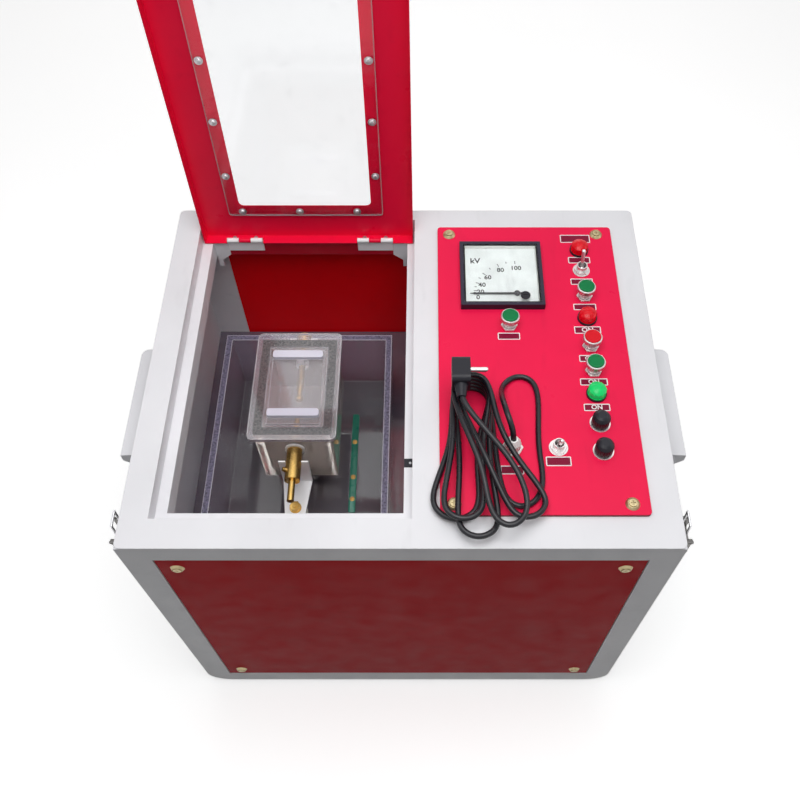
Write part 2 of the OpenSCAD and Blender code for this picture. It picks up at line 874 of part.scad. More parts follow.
// Insulating post with sheds, from the transformer's tank to the bracket's foot
module bushing(y) {
    z0 = base_z + tank_h;
    h = foot_z - z0;
    shed_r = bushing_r + 2.5;
    shed_from = barrier_z0 + barrier_t + 6 - z0;
    translate([cell_x, y, z0]) {
        cylinder(h = h, r = bushing_r);
        for (k = [0:4])
            translate([0, 0, shed_from + k * (h - shed_from - 10) / 4])
                cylinder(h = 5, r1 = shed_r, r2 = bushing_r);
    }
}

module bushings() {
    color("ivory")
        difference() {
            union() {
                bushing(foot_front_y);
                bushing(foot_rear_y);
            }
            for (y = [foot_front_y, foot_rear_y])
                translate([cell_x, y, foot_z - 24])
                    cylinder(h = 24 + cut, r = bolt_r + running_gap);
        }
}

// Bracket with a forked upright that a stem rests in, and a foot on its bushing
module cup_bracket(foot_y, upright_y) {
    outward = foot_y < upright_y ? -1 : 1;
    slot_r = collar_r + seat_gap;
    foot_end = foot_y + outward * 11;
    y0 = min(foot_end, upright_y);
    y1 = max(foot_end, upright_y);
    difference() {
        union() {
            translate([0, 0, foot_z])
                linear_extrude(bracket_t)
                    polygon([[cell_x - bracket_w / 2, upright_y], [cell_x + bracket_w / 2, upright_y],
                        [cell_x + bracket_w / 3, foot_end], [cell_x - bracket_w / 3, foot_end]]);
            block([cell_x - bracket_w / 2, upright_y - bracket_t / 2, foot_z],
                [cell_x + bracket_w / 2, upright_y + bracket_t / 2, axis_z + 5]);
        }
        translate([cell_x, upright_y, axis_z])
            rotate([90, 0, 0])
                cylinder(h = 4 * bracket_t, r = slot_r, center = true);
        block([cell_x - slot_r, upright_y - 2 * bracket_t, axis_z],
            [cell_x + slot_r, upright_y + 2 * bracket_t, axis_z + 5 + cut]);
        translate([cell_x, foot_y, foot_z - cut])
            cylinder(h = bracket_t + 2 * cut, r = bolt_r + seat_gap);
    }
}

module cup_brackets() {
    color("whitesmoke") {
        cup_bracket(foot_front_y, cup_y0 - bracket_from_cup);
        cup_bracket(foot_rear_y, cup_y1 + bracket_from_cup);
    }
}

// Brass bolt down into the bushing, with its nut and a washer on the foot
module bracket_bolts() {
    color("goldenrod")
        for (y = [foot_front_y, foot_rear_y])
            translate([cell_x, y, foot_z]) {
                translate([0, 0, -20])
                    cylinder(h = 20 + bracket_t + 9, r = bolt_r);
                translate([0, 0, bracket_t])
                    cylinder(h = 1.5, r = 7);
                translate([0, 0, bracket_t + 1.5])
                    cylinder(h = 5.5, r = 6.4, $fn = 6);
            }
}

module rod_holes(r) {
    translate([cell_x, cup_y0 - cut, axis_z])
        rotate([-90, 0, 0])
            cylinder(h = cup_l + 2 * cut, r = r);
}

module oil_cup() {
    color("lavender", 0.4)
        difference() {
            translate([cell_x, cell_y, cup_z])
                linear_extrude(cup_h)
                    rounded_rect(cup_w, cup_l, 3);
            translate([cell_x, cell_y, cup_z + cup_t])
                linear_extrude(cup_h)
                    rounded_rect(cup_w - 2 * cup_t, cup_l - 2 * cup_t, 2);
            rod_holes(rod_r + seat_gap);
        }
}

// Cover plate with two bars on top and a rib underneath that drops into the cup's mouth
module cup_cover() {
    rib_h = 4;
    rib_t = 4;
    inner_w = cup_w - 2 * cup_t - 1;
    inner_l = cup_l - 2 * cup_t - 1;
    bar_h = 5;
    bar_from_end = 34;
    color("lavender", 0.4) {
        for (side = [-1, 1])
            translate([cell_x, cell_y + side * (cup_l / 2 + cover_over - bar_from_end),
                cup_top_z + cover_t])
                linear_extrude(bar_h)
                    rounded_rect(bar_l, bar_w, 3);
        translate([cell_x, cell_y, cup_top_z])
            linear_extrude(cover_t)
                rounded_rect(cup_w + 11, cup_l + 2 * cover_over, 7);
        translate([cell_x, cell_y, cup_top_z - rib_h])
            linear_extrude(rib_h)
                difference() {
                    rounded_rect(inner_w, inner_l, 2);
                    rounded_rect(inner_w - 2 * rib_t, inner_l - 2 * rib_t, 1);
                }
    }
}

// Electrode rod along +Y from its outer end, turned to a neck and a ball tip
module electrode(length) {
    neck_l = 12;
    ball_l = 7;
    rotate([-90, 0, 0])
        rotate_extrude()
            union() {
                square([rod_r, length - neck_l - ball_l]);
                translate([0, length - neck_l - ball_l])
                    polygon([[0, 0], [rod_r, 0], [rod_r * 0.6, neck_l], [0, neck_l]]);
                translate([0, length - tip_r])
                    intersection() {
                        circle(r = tip_r);
                        translate([0, -tip_r])
                            square([tip_r, 2 * tip_r]);
                    }
            }
}

tip_middle_y = cell_y + tip_shift;
rod_front_y0 = cup_y0 - washer_t - collar_l - front_rod_out;
rod_rear_y1 = cup_y1 + washer_t + rear_collar_l + rear_rod_out;
module electrode_front() {
    color("goldenrod")
        translate([cell_x, rod_front_y0, axis_z])
            electrode(tip_middle_y - spark_gap / 2 - rod_front_y0);
}

module electrode_rear() {
    color("goldenrod")
        translate([cell_x, rod_rear_y1, axis_z])
            rotate([0, 0, 180])
                electrode(rod_rear_y1 - tip_middle_y - spark_gap / 2);
}

// Brass sleeve with a clamping screw on its side, along +Y
module collar(length, screw_y) {
    rotate([-90, 0, 0])
        difference() {
            union() {
                cylinder(h = length, r = collar_r);
                cylinder(h = 1.5, r = collar_r - 1);
            }
            translate([0, 0, -cut])
                cylinder(h = length + 2 * cut, r = rod_r + running_gap);
        }
    translate([0, screw_y, 0])
        rotate([0, -60, 0])
            translate([0, 0, collar_r - 0.6]) {
                cylinder(h = 1.6, r = 3.4);
                cylinder(h = 4.6, r = 2.4);
            }
}

module stem_collars() {
    color("goldenrod") {
        translate([cell_x, cup_y0 - washer_t - collar_l, axis_z])
            collar(collar_l, 12);
        translate([cell_x, cup_y1 + washer_t + rear_collar_l, axis_z])
            rotate([0, 0, 180])
                collar(rear_collar_l, 20);
    }
}

// White washers outside the cup's end walls and hexagonal nuts inside them
module stem_washers() {
    nut_l = 9;
    color("white")
        difference() {
            for (y = [cup_y0 - washer_t, cup_y1])
                translate([cell_x, y, axis_z])
                    rotate([-90, 0, 0])
                        cylinder(h = washer_t, r = washer_r);
            rod_through();
        }
    color("white")
        difference() {
            for (y = [cup_y0 + cup_t, cup_y1 - cup_t - nut_l])
                translate([cell_x, y, axis_z])
                    rotate([-90, 0, 0])
                        cylinder(h = nut_l, r = 8, $fn = 6);
            rod_through();
        }
}

module rod_through() {
    translate([cell_x, cup_y0 - 20, axis_z])
        rotate([-90, 0, 0])
            cylinder(h = cup_l + 40, r = rod_r + seat_gap);
}

// Interlock switch in a notch of the seat's right ledge, under the closed lid's edge
plunger_r = 1.5;
plunger_x = seat_x1 - lid_gap - lid_t / 2;
plunger_stroke = 1.5;
switch_top_z = ledge_z + 0.4;
module interlock_switch() {
    color("black")
        difference() {
            block([open_x1, switch_y - switch_l / 2, switch_top_z - switch_h],
                [seat_x1 - seat_gap, switch_y + switch_l / 2, switch_top_z]);
            translate([plunger_x, switch_y, switch_top_z - 8 - plunger_stroke])
                cylinder(h = 8 + plunger_stroke + cut, r = plunger_r + running_gap);
        }
}

module interlock_plunger() {
    color("silver")
        translate([plunger_x, switch_y, switch_top_z - 8])
            cylinder(h = 8.5, r = plunger_r);
}

// Sealed tank with a bolted cover and cooling ribs
module hv_transformer() {
    cover_h = 6;
    rib_count = 8;
    translate([cell_x, tank_y, base_z])
        color("slategray") {
            translate([-tank_w / 2, -tank_d / 2, 0])
                cube([tank_w, tank_d, tank_h - cover_h]);
            translate([-tank_w / 2 - 6, -tank_d / 2 - 6, tank_h - cover_h])
                cube([tank_w + 12, tank_d + 12, cover_h]);
            for (k = [0:rib_count - 1], sx = [-1, 1])
                translate([sx * (tank_w / 2 + 2.5), -tank_d / 2 + (k + 0.5) * tank_d / rib_count,
                    tank_h / 2 - cover_h])
                    cube([5, 3, tank_h - 50], center = true);
            for (sx = [-1, 1], k = [0:4])
                translate([sx * tank_w / 2, (k - 2) * tank_d / 5, tank_h])
                    cylinder(h = 4, r = 5, $fn = 6);
        }
}

// Toroid with its winding, and the hub that carries the brush shaft
module variac_core() {
    hole_r = variac_r / 2;
    round_r = 8;
    turns = 40;
    translate([variac_x, variac_y, base_z])
        color("peru") {
            difference() {
                union() {
                    cylinder(h = variac_h - 1, r = variac_r - 1);
                    translate([0, 0, round_r])
                        cylinder(h = variac_h - 2 * round_r, r = variac_r);
                }
                translate([0, 0, 8])
                    cylinder(h = variac_h, r = hole_r);
                translate([0, 0, -cut])
                    cylinder(h = variac_h, r = shaft_r + running_gap);
            }
            for (k = [0:turns - 1])
                rotate([0, 0, k * 360 / turns])
                    translate([hole_r + 1, -1, variac_h - 2])
                        cube([variac_r - hole_r - 3, 2, 2]);
        }
}

function involute(a) = tan(a) - a * PI / 180;
function flank_angle(teeth, pitch_r, r) =
    90 / teeth - backlash * 90 / (PI * pitch_r)
    + (involute(pressure_angle)
    - involute(acos(min(1, pitch_r * cos(pressure_angle) / r)))) * 180 / PI;

// Outline of a spur gear with involute flanks, one tooth on +X
function gear_points(teeth) =
    let (pitch_r = gear_module * teeth / 2,
        base_r = pitch_r * cos(pressure_angle),
        root_r = pitch_r - 1.25 * gear_module,
        tip_circle_r = pitch_r + 0.95 * gear_module,
        low_r = max(base_r, root_r),
        steps = 3,
        radii = [for (i = [0:steps]) low_r + (tip_circle_r - low_r) * i / steps])
    [for (k = [0:teeth - 1])
        let (middle = k * 360 / teeth)
        each concat(
            [root_r * [cos(middle - flank_angle(teeth, pitch_r, low_r)),
                sin(middle - flank_angle(teeth, pitch_r, low_r))]],
            [for (r = radii) r * [cos(middle - flank_angle(teeth, pitch_r, r)),
                sin(middle - flank_angle(teeth, pitch_r, r))]],
            [for (i = [steps:-1:0]) radii[i] * [cos(middle + flank_angle(teeth, pitch_r, radii[i])),
                sin(middle + flank_angle(teeth, pitch_r, radii[i]))]],
            [root_r * [cos(middle + flank_angle(teeth, pitch_r, low_r)),
                sin(middle + flank_angle(teeth, pitch_r, low_r))]])];

// Shaft with the large gear and the arm that carries the carbon brush
module variac_rotor() {
    arm_z = base_z + variac_h + 3;
    color("silver")
        translate([variac_x, variac_y, 0]) {
            translate([0, 0, base_z + 1])
                cylinder(h = plate_z + plate_t - base_z + 4, r = shaft_r);
            translate([0, 0, arm_z])
                cylinder(h = gear_z - arm_z, r = 11);
            translate([0, -6, arm_z + 6])
                cube([variac_r - 14, 12, 4]);
            translate([variac_r - 24, -5, base_z + variac_h + seat_gap])
                cube([9, 10, arm_z + 6 - base_z - variac_h]);
            translate([0, 0, gear_z])
                rotate([0, 0, 180 / gear_teeth - 90])
                    linear_extrude(gear_t)
                        polygon(gear_points(gear_teeth));
        }
}

plate_z = gear_z + gear_t + 4;
plate_t = 4;
motor_h = 46;

// Plate on four pillars over the brush gear, with the gear motor on top
module drive_motor() {
    span_x = variac_r + 14;
    span_y = variac_r + 2;
    pillar_r = 5;
    color("gray")
        difference() {
            union() {
                block([variac_x - span_x, variac_y - span_y, plate_z],
                    [variac_x + span_x, variac_y + span_y, plate_z + plate_t]);
                for (sx = [-1, 1], sy = [-1, 1])
                    translate([variac_x + sx * (span_x - pillar_r), variac_y + sy * (span_y - pillar_r),
                        base_z])
                        cylinder(h = plate_z - base_z, r = pillar_r);
                translate([variac_x, motor_y, plate_z])
                    cylinder(h = plate_t + motor_h, r = motor_r);
                translate([variac_x, motor_y, plate_z])
                    cylinder(h = plate_t + 12, r = motor_r + 3);
            }
            translate([variac_x, variac_y, plate_z - cut])
                cylinder(h = plate_t + 2 * cut, r = shaft_r + running_gap);
            translate([variac_x, motor_y, plate_z - cut])
                cylinder(h = plate_t + 16, r = motor_shaft_r + running_gap);
        }
}

module motor_pinion() {
    color("goldenrod")
        translate([variac_x, motor_y, gear_z]) {
            rotate([0, 0, 90])
                linear_extrude(gear_t)
                    polygon(gear_points(pinion_teeth));
            cylinder(h = plate_z + plate_t + 10 - gear_z, r = motor_shaft_r);
        }
}

// Control board on four spacers, with relays, terminals and a small transformer
module relay_board() {
    board_x = partition_x + sheet_t + 8;
    board_y = front_y + 45;
    board_z = base_z + 150;
    board_w = 130;
    board_h = 110;
    color("seagreen")
        translate([board_x, board_y, board_z]) {
            cube([1.6, board_w, board_h]);
            for (y = [6, board_w - 6], z = [6, board_h - 6])
                translate([-8, y, z])
                    rotate([0, 90, 0])
                        cylinder(h = 8, r = 3);
            for (k = [0:3])
                translate([1.6, 14 + k * 24, 70])
                    cube([16, 16, 24]);
            translate([1.6, 12, 12])
                cube([12, 100, 9]);
            translate([1.6, 20, 32])
                cube([28, 36, 30]);
            for (k = [0:1])
                translate([1.6, 78 + k * 24, 46])
                    rotate([0, 90, 0])
                        cylinder(h = 26, r = 8);
        }
}

module meter_square(w, h, z) {
    translate([meter_x, meter_y, z])
        linear_extrude(h)
            square(w, center = true);
}

module meter_case() {
    window = meter_w - 2 * bezel_w;
    color("dimgray")
        difference() {
            union() {
                meter_square(meter_w, meter_front_h, panel_z);
                meter_square(window, meter_case_h, panel_z - meter_case_h);
            }
            meter_square(window - 4, meter_front_h, dial_z);
            meter_square(window, meter_front_h, glass_z);
        }
}

module meter_dial() {
    color("white") {
        meter_square(meter_w - 2 * bezel_w - 4 - 2 * seat_gap, dial_t, dial_z);
        translate([pivot_x, pivot_y, dial_z + dial_t])
            cylinder(h = needle_z + 2 - dial_z - dial_t, r = pivot_pin_r);
    }
}

module meter_glass() {
    color("azure", 0.3)
        difference() {
            meter_square(meter_w - 2 * bezel_w - 2 * seat_gap, glass_t, glass_z);
            translate([adjuster_x, adjuster_y, glass_z - cut])
                cylinder(h = glass_t + 2 * cut, r = adjuster_r + 0.1);
        }
}

// Needle at zero, pointing to -X, with its hub on the dial's pin
module meter_pointer() {
    color("black")
        translate([pivot_x, pivot_y, needle_z])
            difference() {
                union() {
                    cylinder(h = 1.6, r = needle_hub_r);
                    linear_extrude(needle_t)
                        polygon([[8, -1.6], [8, 1.6], [0, 1.3], [8 - needle_l, 1.1],
                            [-needle_l, 0.3], [-needle_l, -0.3], [8 - needle_l, -1.1],
                            [0, -1.3]]);
                }
                translate([0, 0, -cut])
                    cylinder(h = 2 + 2 * cut, r = pivot_pin_r + running_gap);
            }
}

module meter_adjuster() {
    color("black")
        translate([adjuster_x, adjuster_y, glass_z])
            difference() {
                union() {
                    cylinder(h = glass_t + 0.2, r = adjuster_r);
                    translate([0, 0, glass_t + 0.1])
                        cylinder(h = 1.4, r = adjuster_r + 1);
                }
                translate([0, 0, glass_t + 1.4])
                    cube([7, 1.2, 1.4], center = true);
            }
}

// Threaded body with a slim nut on the panel, a neck and a ring round the cap
cap_r = button_r - 1.6;
neck_r = thread_r - 1.6;
cap_floor = 5;
stem_r = 3;
module button_body(p) {
    translate([p[0], p[1], panel_z])
        difference() {
            union() {
                translate([0, 0, -28])
                    cylinder(h = 28 + nut_h, r = thread_r);
                cylinder(h = button_h - 8, r = neck_r);
                translate([0, 0, button_h - 9])
                    cylinder(h = 3, r1 = neck_r, r2 = button_r);
                cylinder(h = nut_h - 1, r = thread_r + 1.4, $fn = 6);
                translate([0, 0, -sheet_t - nut_h - seat_gap])
                    cylinder(h = nut_h, r = thread_r + 3, $fn = 6);
                translate([0, 0, button_h - 6])
                    cylinder(h = 5, r = button_r);
                translate([0, 0, button_h - 1])
                    cylinder(h = 1, r1 = button_r, r2 = button_r - 0.8);
                for (k = [0:2])
                    translate([0, 0, nut_h + 1 + k * 2])
                        cylinder(h = 1, r = neck_r + 0.4);
            }
            translate([0, 0, button_h - cap_floor])
                cylinder(h = cap_floor + cut, r = cap_r + 0.2);
            translate([0, 0, button_h - cap_floor - 8])
                cylinder(h = 8 + cut, r = stem_r + 0.2);
        }
}

module button_bodies() {
    color("silver")
        for (p = button_places())
            button_body(p);
}

// Cap with a shallow dish, above the floor of its ring by its travel
module button_cap(p) {
    gap = button_travel + seat_gap;
    translate([p[0], p[1], panel_z + button_h])
        difference() {
            union() {
                translate([0, 0, gap - cap_floor])
                    cylinder(h = cap_floor - gap + 0.6, r = cap_r);
                translate([0, 0, -cap_floor - 5])
                    cylinder(h = 6 + gap, r = stem_r);
            }
            translate([0, 0, 0.2])
                cylinder(h = 1, r1 = cap_r - 2.4, r2 = cap_r - 1.2);
        }
}

module button_cap_hold() {
    color("forestgreen")
        button_cap(button_places()[0]);
}

module button_cap_start() {
    color("forestgreen")
        button_cap(button_places()[1]);
}

module button_cap_off() {
    color("red")
        button_cap(button_places()[2]);
}

module button_cap_on() {
    color("forestgreen")
        button_cap(button_places()[3]);
}

// Lamp holder: bezel on the panel and a threaded body under it
bezel_h = 3;
module lamp_bodies() {
    color("black")
        for (y = lamp_ys)
            translate([column_x, y, panel_z])
                difference() {
                    union() {
                        cylinder(h = bezel_h, r = lamp_r + 1);
                        translate([0, 0, -26])
                            cylinder(h = 26, r = lamp_r - 2);
                        translate([0, 0, -sheet_t - nut_h - seat_gap])
                            cylinder(h = nut_h, r = lamp_r + 1, $fn = 6);
                    }
                    translate([0, 0, bezel_h - 2])
                        cylinder(h = 2 + cut, r = lamp_r);
                }
}

// Ribbed lens with a domed top
module lamp_lens(y) {
    skirt_h = 8;
    dome_h = 4;
    dome_r = 14;
    ribs = 12;
    translate([column_x, y, panel_z + bezel_h - 2]) {
        cylinder(h = skirt_h + 1, r = lamp_r - 0.8);
        cylinder(h = 2, r = lamp_r - 0.1);
        translate([0, 0, skirt_h + 1])
            intersection() {
                translate([0, 0, dome_h - dome_r])
                    sphere(r = dome_r);
                cylinder(h = dome_h, r = lamp_r - 0.8);
            }
        for (k = [0:ribs - 1])
            rotate([0, 0, k * 360 / ribs])
                translate([lamp_r - 1.2, -0.8, 1])
                    cube([1, 1.6, skirt_h]);
    }
}

module lamp_lenses_red() {
    color("red")
        for (k = [0, 1])
            lamp_lens(lamp_ys[k]);
}

module lamp_lens_green() {
    color("limegreen")
        lamp_lens(lamp_ys[2]);
}

// Threaded bush with a nut and a lock ring, and the switch's housing under the panel
bush_h = 10;
pivot_h = 4;
module toggle_bodies() {
    color("silver")
        for (p = toggle_places())
            translate([p[0], p[1], panel_z])
                difference() {
                    union() {
                        translate([0, 0, -9])
                            cylinder(h = 9 + bush_h, r = toggle_r);
                        cylinder(h = 0.8, r = toggle_r + 4);
                        translate([0, 0, 0.8])
                            cylinder(h = nut_h, r = toggle_r + 3, $fn = 6);
                        translate([-7, -14, -sheet_t - 24])
                            cube([14, 28, 18]);
                        for (k = [-1:1])
                            translate([-3, k * 9 - 0.5, -sheet_t - 32])
                                cube([6, 1, 8 + cut]);
                    }
                    translate([0, 0, -1])
                        cylinder(h = bush_h + 2, r = 3.2);
                    translate([0, 0, pivot_h])
                        cylinder(h = bush_h - pivot_h + 0.1, r1 = 3.2, r2 = 5);
                }
}

// Lever with its ball and cross pin in the bush and a thick end
module toggle_lever(p, tilt) {
    translate([p[0], p[1], panel_z + pivot_h])
        rotate([-tilt, 0, 0]) {
            sphere(r = 2.8);
            rotate([0, 90, 0])
                cylinder(h = 6, r = 0.8, center = true);
            cylinder(h = toggle_l - 3, r1 = 1.5, r2 = 2.4);
            translate([0, 0, toggle_l - 3])
                sphere(r = 2.4);
        }
}

module toggle_lever_rear() {
    color("silver")
        toggle_lever(toggle_places()[0], toggle_tilt);
}

module toggle_lever_front() {
    color("silver")
        toggle_lever(toggle_places()[1], -toggle_tilt);
}

module fuse_holders() {
    ring_h = 1.5;
    color("silver")
        for (y = fuse_ys)
            translate([column_x, y, panel_z])
                difference() {
                    union() {
                        cylinder(h = ring_h, r = fuse_r + 1.5);
                        translate([0, 0, -38])
                            cylinder(h = 38, r = fuse_r - 2);
                        translate([0, 0, -sheet_t - nut_h - seat_gap])
                            cylinder(h = nut_h, r = fuse_r + 1, $fn = 6);
                    }
                    translate([0, 0, -10])
                        cylinder(h = 10 + ring_h + cut, r = fuse_r - 3.5);
                }
}

// Fluted bayonet cap with a spigot in the holder
module fuse_cap(y) {
    flutes = 16;
    spigot_r = fuse_r - 3.5 - 0.2;
    translate([column_x, y, panel_z + 1.5 + seat_gap])
        difference() {
            union() {
                cylinder(h = fuse_h - 5, r = fuse_r);
                translate([0, 0, fuse_h - 5])
                    cylinder(h = 3.5, r1 = fuse_r, r2 = fuse_r - 2.5);
                translate([0, 0, fuse_h - 1.5])
                    cylinder(h = 1.5, r1 = fuse_r - 2.5, r2 = fuse_r - 5);
                translate([0, 0, -8])
                    cylinder(h = 9, r = spigot_r);
            }
            for (k = [0:flutes - 1])
                rotate([0, 0, k * 360 / flutes])
                    translate([fuse_r + 0.4, 0, 1.5])
                        cylinder(h = fuse_h - 6, r = 1);
        }
}

module fuse_cap_rear() {
    color("black")
        fuse_cap(fuse_ys[0]);
}

module fuse_cap_front() {
    color("black")
        fuse_cap(fuse_ys[1]);
}

// Cable gland: hexagonal foot, ribbed nut and a rounded neck with the cord's bore
module cord_gland() {
    foot_z = 3;
    neck_z = gland_h - 7;
    bore_z = gland_h - 11;
    bore_r = cord_r + running_gap;
    barrel_r = gland_r - 0.5;
    ribs = 14;
    color("white")
        translate([gland_x, gland_y, panel_z]) {
            rotate_extrude()
                polygon([[0, -14], [gland_r - 1.5, -14], [gland_r - 1.5, foot_z], [barrel_r, foot_z],
                    [barrel_r, neck_z], [cord_r + 3, neck_z + 4], [cord_r + 1.5, gland_h],
                    [bore_r, gland_h], [bore_r, bore_z], [0, bore_z]]);
            translate([0, 0, -sheet_t - nut_h - 1 - seat_gap])
                cylinder(h = nut_h + 1, r = gland_r + 3, $fn = 6);
            cylinder(h = foot_z, r = gland_r + 3, $fn = 6);
            for (k = [0:ribs - 1])
                rotate([0, 0, k * 360 / ribs])
                    translate([barrel_r, 0, foot_z + 1])
                        cylinder(h = neck_z - foot_z - 2, r = 0.7);
        }
}

// Points of one turn: left run, front end, right run and rear end
function turn_points(turn) =
    let (front = turn[0], layers = turn[3],
        up = (hank_rear - front) / norm(hank_rear - front),
        right = [up[1], -up[0]],
        middle = (hank_rear + front) / 2,
        left_run = middle - turn[2][0] * right,
        right_run = middle + turn[2][1] * right)
    concat([[each left_run, layers[1]]],
        [for (a = [180:45:360]) [each front + turn[1] * (cos(a) * right + sin(a) * up), layers[2]]],
        [[each right_run, layers[3]]],
        [for (a = [0:45:180]) [each hank_rear + hank_rear_r * (cos(a) * right + sin(a) * up),
            layers[0]]]);
function cord_path() = [for (p = concat(cord_lead, [for (turn = hank_turns) each turn_points(turn)],
        cord_tail))
    [p[0], front_y + p[1], panel_z + cord_r + p[2] * cord_layer_h]];

function heading(path, i) = let (v = path[min(i + 1, len(path) - 1)] - path[max(i - 1, 0)])
    v / norm(v);
function across(v, dir) = let (w = v - (v * dir) * dir) w / norm(w);

// Each ring takes its turn about the route from the ring before it
function sides(path) = [for (i = 0, v = across([1, 0, 0], heading(path, 0)); i < len(path);
        i = i + 1, v = i < len(path) ? across(v, heading(path, i)) : v) v];
function ring(centre, dir, side) = let (over = cross(dir, side))
    [for (k = [0:cord_sides - 1]) centre + cord_r * (cos(k * 360 / cord_sides) * side
        + sin(k * 360 / cord_sides) * over)];

module mains_cord() {
    path = cord_path();
    last = len(path) - 1;
    side = sides(path);
    points = [for (i = [0:last]) each ring(path[i], heading(path, i), side[i])];
    walls = [for (i = [0:last - 1], k = [0:cord_sides - 1]) let (next = (k + 1) % cord_sides)
        [i * cord_sides + k, (i + 1) * cord_sides + k, (i + 1) * cord_sides + next,
            i * cord_sides + next]];
    ends = [[for (k = [0:cord_sides - 1]) k],
        [for (k = [cord_sides - 1:-1:0]) last * cord_sides + k]];
    color("black")
        polyhedron(points, concat(walls, ends));
}

// Plug with a tapered neck that the cord enters
module plug_body() {
    middle_z = plug_z + plug_h / 2;
    cord_end_y = cord_path()[len(cord_path()) - 1][1];
    color("black")
        difference() {
            union() {
                along_width(plug_x - plug_w / 2, plug_w)
                    translate([plug_y0 + plug_l / 2, middle_z])
                        rounded_rect(plug_l, plug_h, 6);
                translate([plug_x, plug_y0 + cut, middle_z])
                    rotate([90, 0, 0])
                        cylinder(h = plug_neck_l + cut, r1 = 7, r2 = cord_r + 1.5);
            }
            translate([plug_x, cord_end_y + running_gap, middle_z])
                rotate([90, 0, 0])
                    cylinder(h = plug_neck_l, r = cord_r + running_gap);
        }
}

module plug_pins() {
    color("goldenrod")
        translate([plug_x + plug_w / 2, plug_y0 + plug_l - 10, plug_z + plug_h / 2])
            rotate([pin_lean, 0, 0])
                for (side = [-1, 1])
                    translate([0, 0, side * pin_pitch / 2])
                        rotate([0, 90, 0]) {
                            cylinder(h = pin_l - 1, r = pin_r);
                            translate([0, 0, pin_l - 1])
                                cylinder(h = 1, r1 = pin_r, r2 = pin_r - 0.8);
                        }
}

cabinet();
top_frame();
partition();
chamber_floor();
front_panel();
rear_panel();
control_panel();
panel_screws();
feet();
side_handles();
latch_bases();
latch_lever_left();
latch_lever_right();
latch_bail_left();
latch_bail_right();
lid_pan();
lid_window();
hinge_frame_leaves();
hinge_lid_leaves();
barrier_box();
bushings();
cup_brackets();
bracket_bolts();
oil_cup();
cup_cover();
electrode_front();
electrode_rear();
stem_collars();
stem_washers();
interlock_switch();
interlock_plunger();
hv_transformer();
variac_core();
variac_rotor();
drive_motor();
motor_pinion();
relay_board();
meter_case();
meter_dial();
meter_glass();
meter_pointer();
meter_adjuster();
button_bodies();
button_cap_hold();
button_cap_start();
button_cap_off();
button_cap_on();
lamp_bodies();
lamp_lenses_red();
lamp_lens_green();
toggle_bodies();
toggle_lever_rear();
toggle_lever_front();
fuse_holders();
fuse_cap_rear();
fuse_cap_front();
cord_gland();
mains_cord();
plug_body();
plug_pins();
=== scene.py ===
"""The looks of an oil breakdown voltage tester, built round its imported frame.

Every length in a sub-assembly's fields is in millimetres, in the frame of the part, and so are the
corners of a finish's region. `mm` and `metres` turn them into metres. The other lengths in the
finishes are in metres, as the shader nodes take them.
"""

import logging
import math
from dataclasses import dataclass
from enum import Enum
from typing import Callable, ClassVar, Iterable, Sequence

import bpy
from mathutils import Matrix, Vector


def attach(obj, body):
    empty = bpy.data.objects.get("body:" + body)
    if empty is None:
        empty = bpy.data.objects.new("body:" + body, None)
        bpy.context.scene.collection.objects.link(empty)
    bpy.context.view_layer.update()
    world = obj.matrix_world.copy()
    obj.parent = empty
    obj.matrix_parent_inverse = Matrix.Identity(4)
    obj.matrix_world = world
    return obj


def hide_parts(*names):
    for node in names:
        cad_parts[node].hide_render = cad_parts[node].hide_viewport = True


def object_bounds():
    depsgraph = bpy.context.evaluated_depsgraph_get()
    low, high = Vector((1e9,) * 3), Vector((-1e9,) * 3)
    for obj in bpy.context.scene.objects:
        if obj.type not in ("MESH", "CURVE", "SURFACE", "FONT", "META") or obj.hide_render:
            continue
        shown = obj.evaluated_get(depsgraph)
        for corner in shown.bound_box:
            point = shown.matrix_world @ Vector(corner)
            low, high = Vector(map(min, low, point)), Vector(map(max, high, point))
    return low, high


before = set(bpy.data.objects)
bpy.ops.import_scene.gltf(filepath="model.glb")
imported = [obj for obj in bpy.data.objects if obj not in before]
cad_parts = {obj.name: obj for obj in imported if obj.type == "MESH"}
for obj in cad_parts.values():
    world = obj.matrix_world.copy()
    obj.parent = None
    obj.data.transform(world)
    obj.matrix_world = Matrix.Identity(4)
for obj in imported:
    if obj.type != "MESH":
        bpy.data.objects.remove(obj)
cad_low, cad_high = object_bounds()

LOG = logging.getLogger("tester")
PER_METRE = 1000
FACING_UP = 0.9
BRIGHTEST = 0.98
WHITE = (1, 1, 1, 1)
BEVEL_SAMPLES = 4
MIX_COLOURS = (6, 7)
MIX_RESULT = 2
MERGE_DISTANCE = 0.000001
LETTER_WEIGHT = 0.022
Point = Sequence[float]
Colour = tuple[float, float, float]


def metres(length: float) -> float:
    """Returns a length in millimetres as metres."""
    return length / PER_METRE


def mm(*values: float) -> Vector:
    """Returns millimetres as a vector in metres."""
    return Vector([metres(value) for value in values])


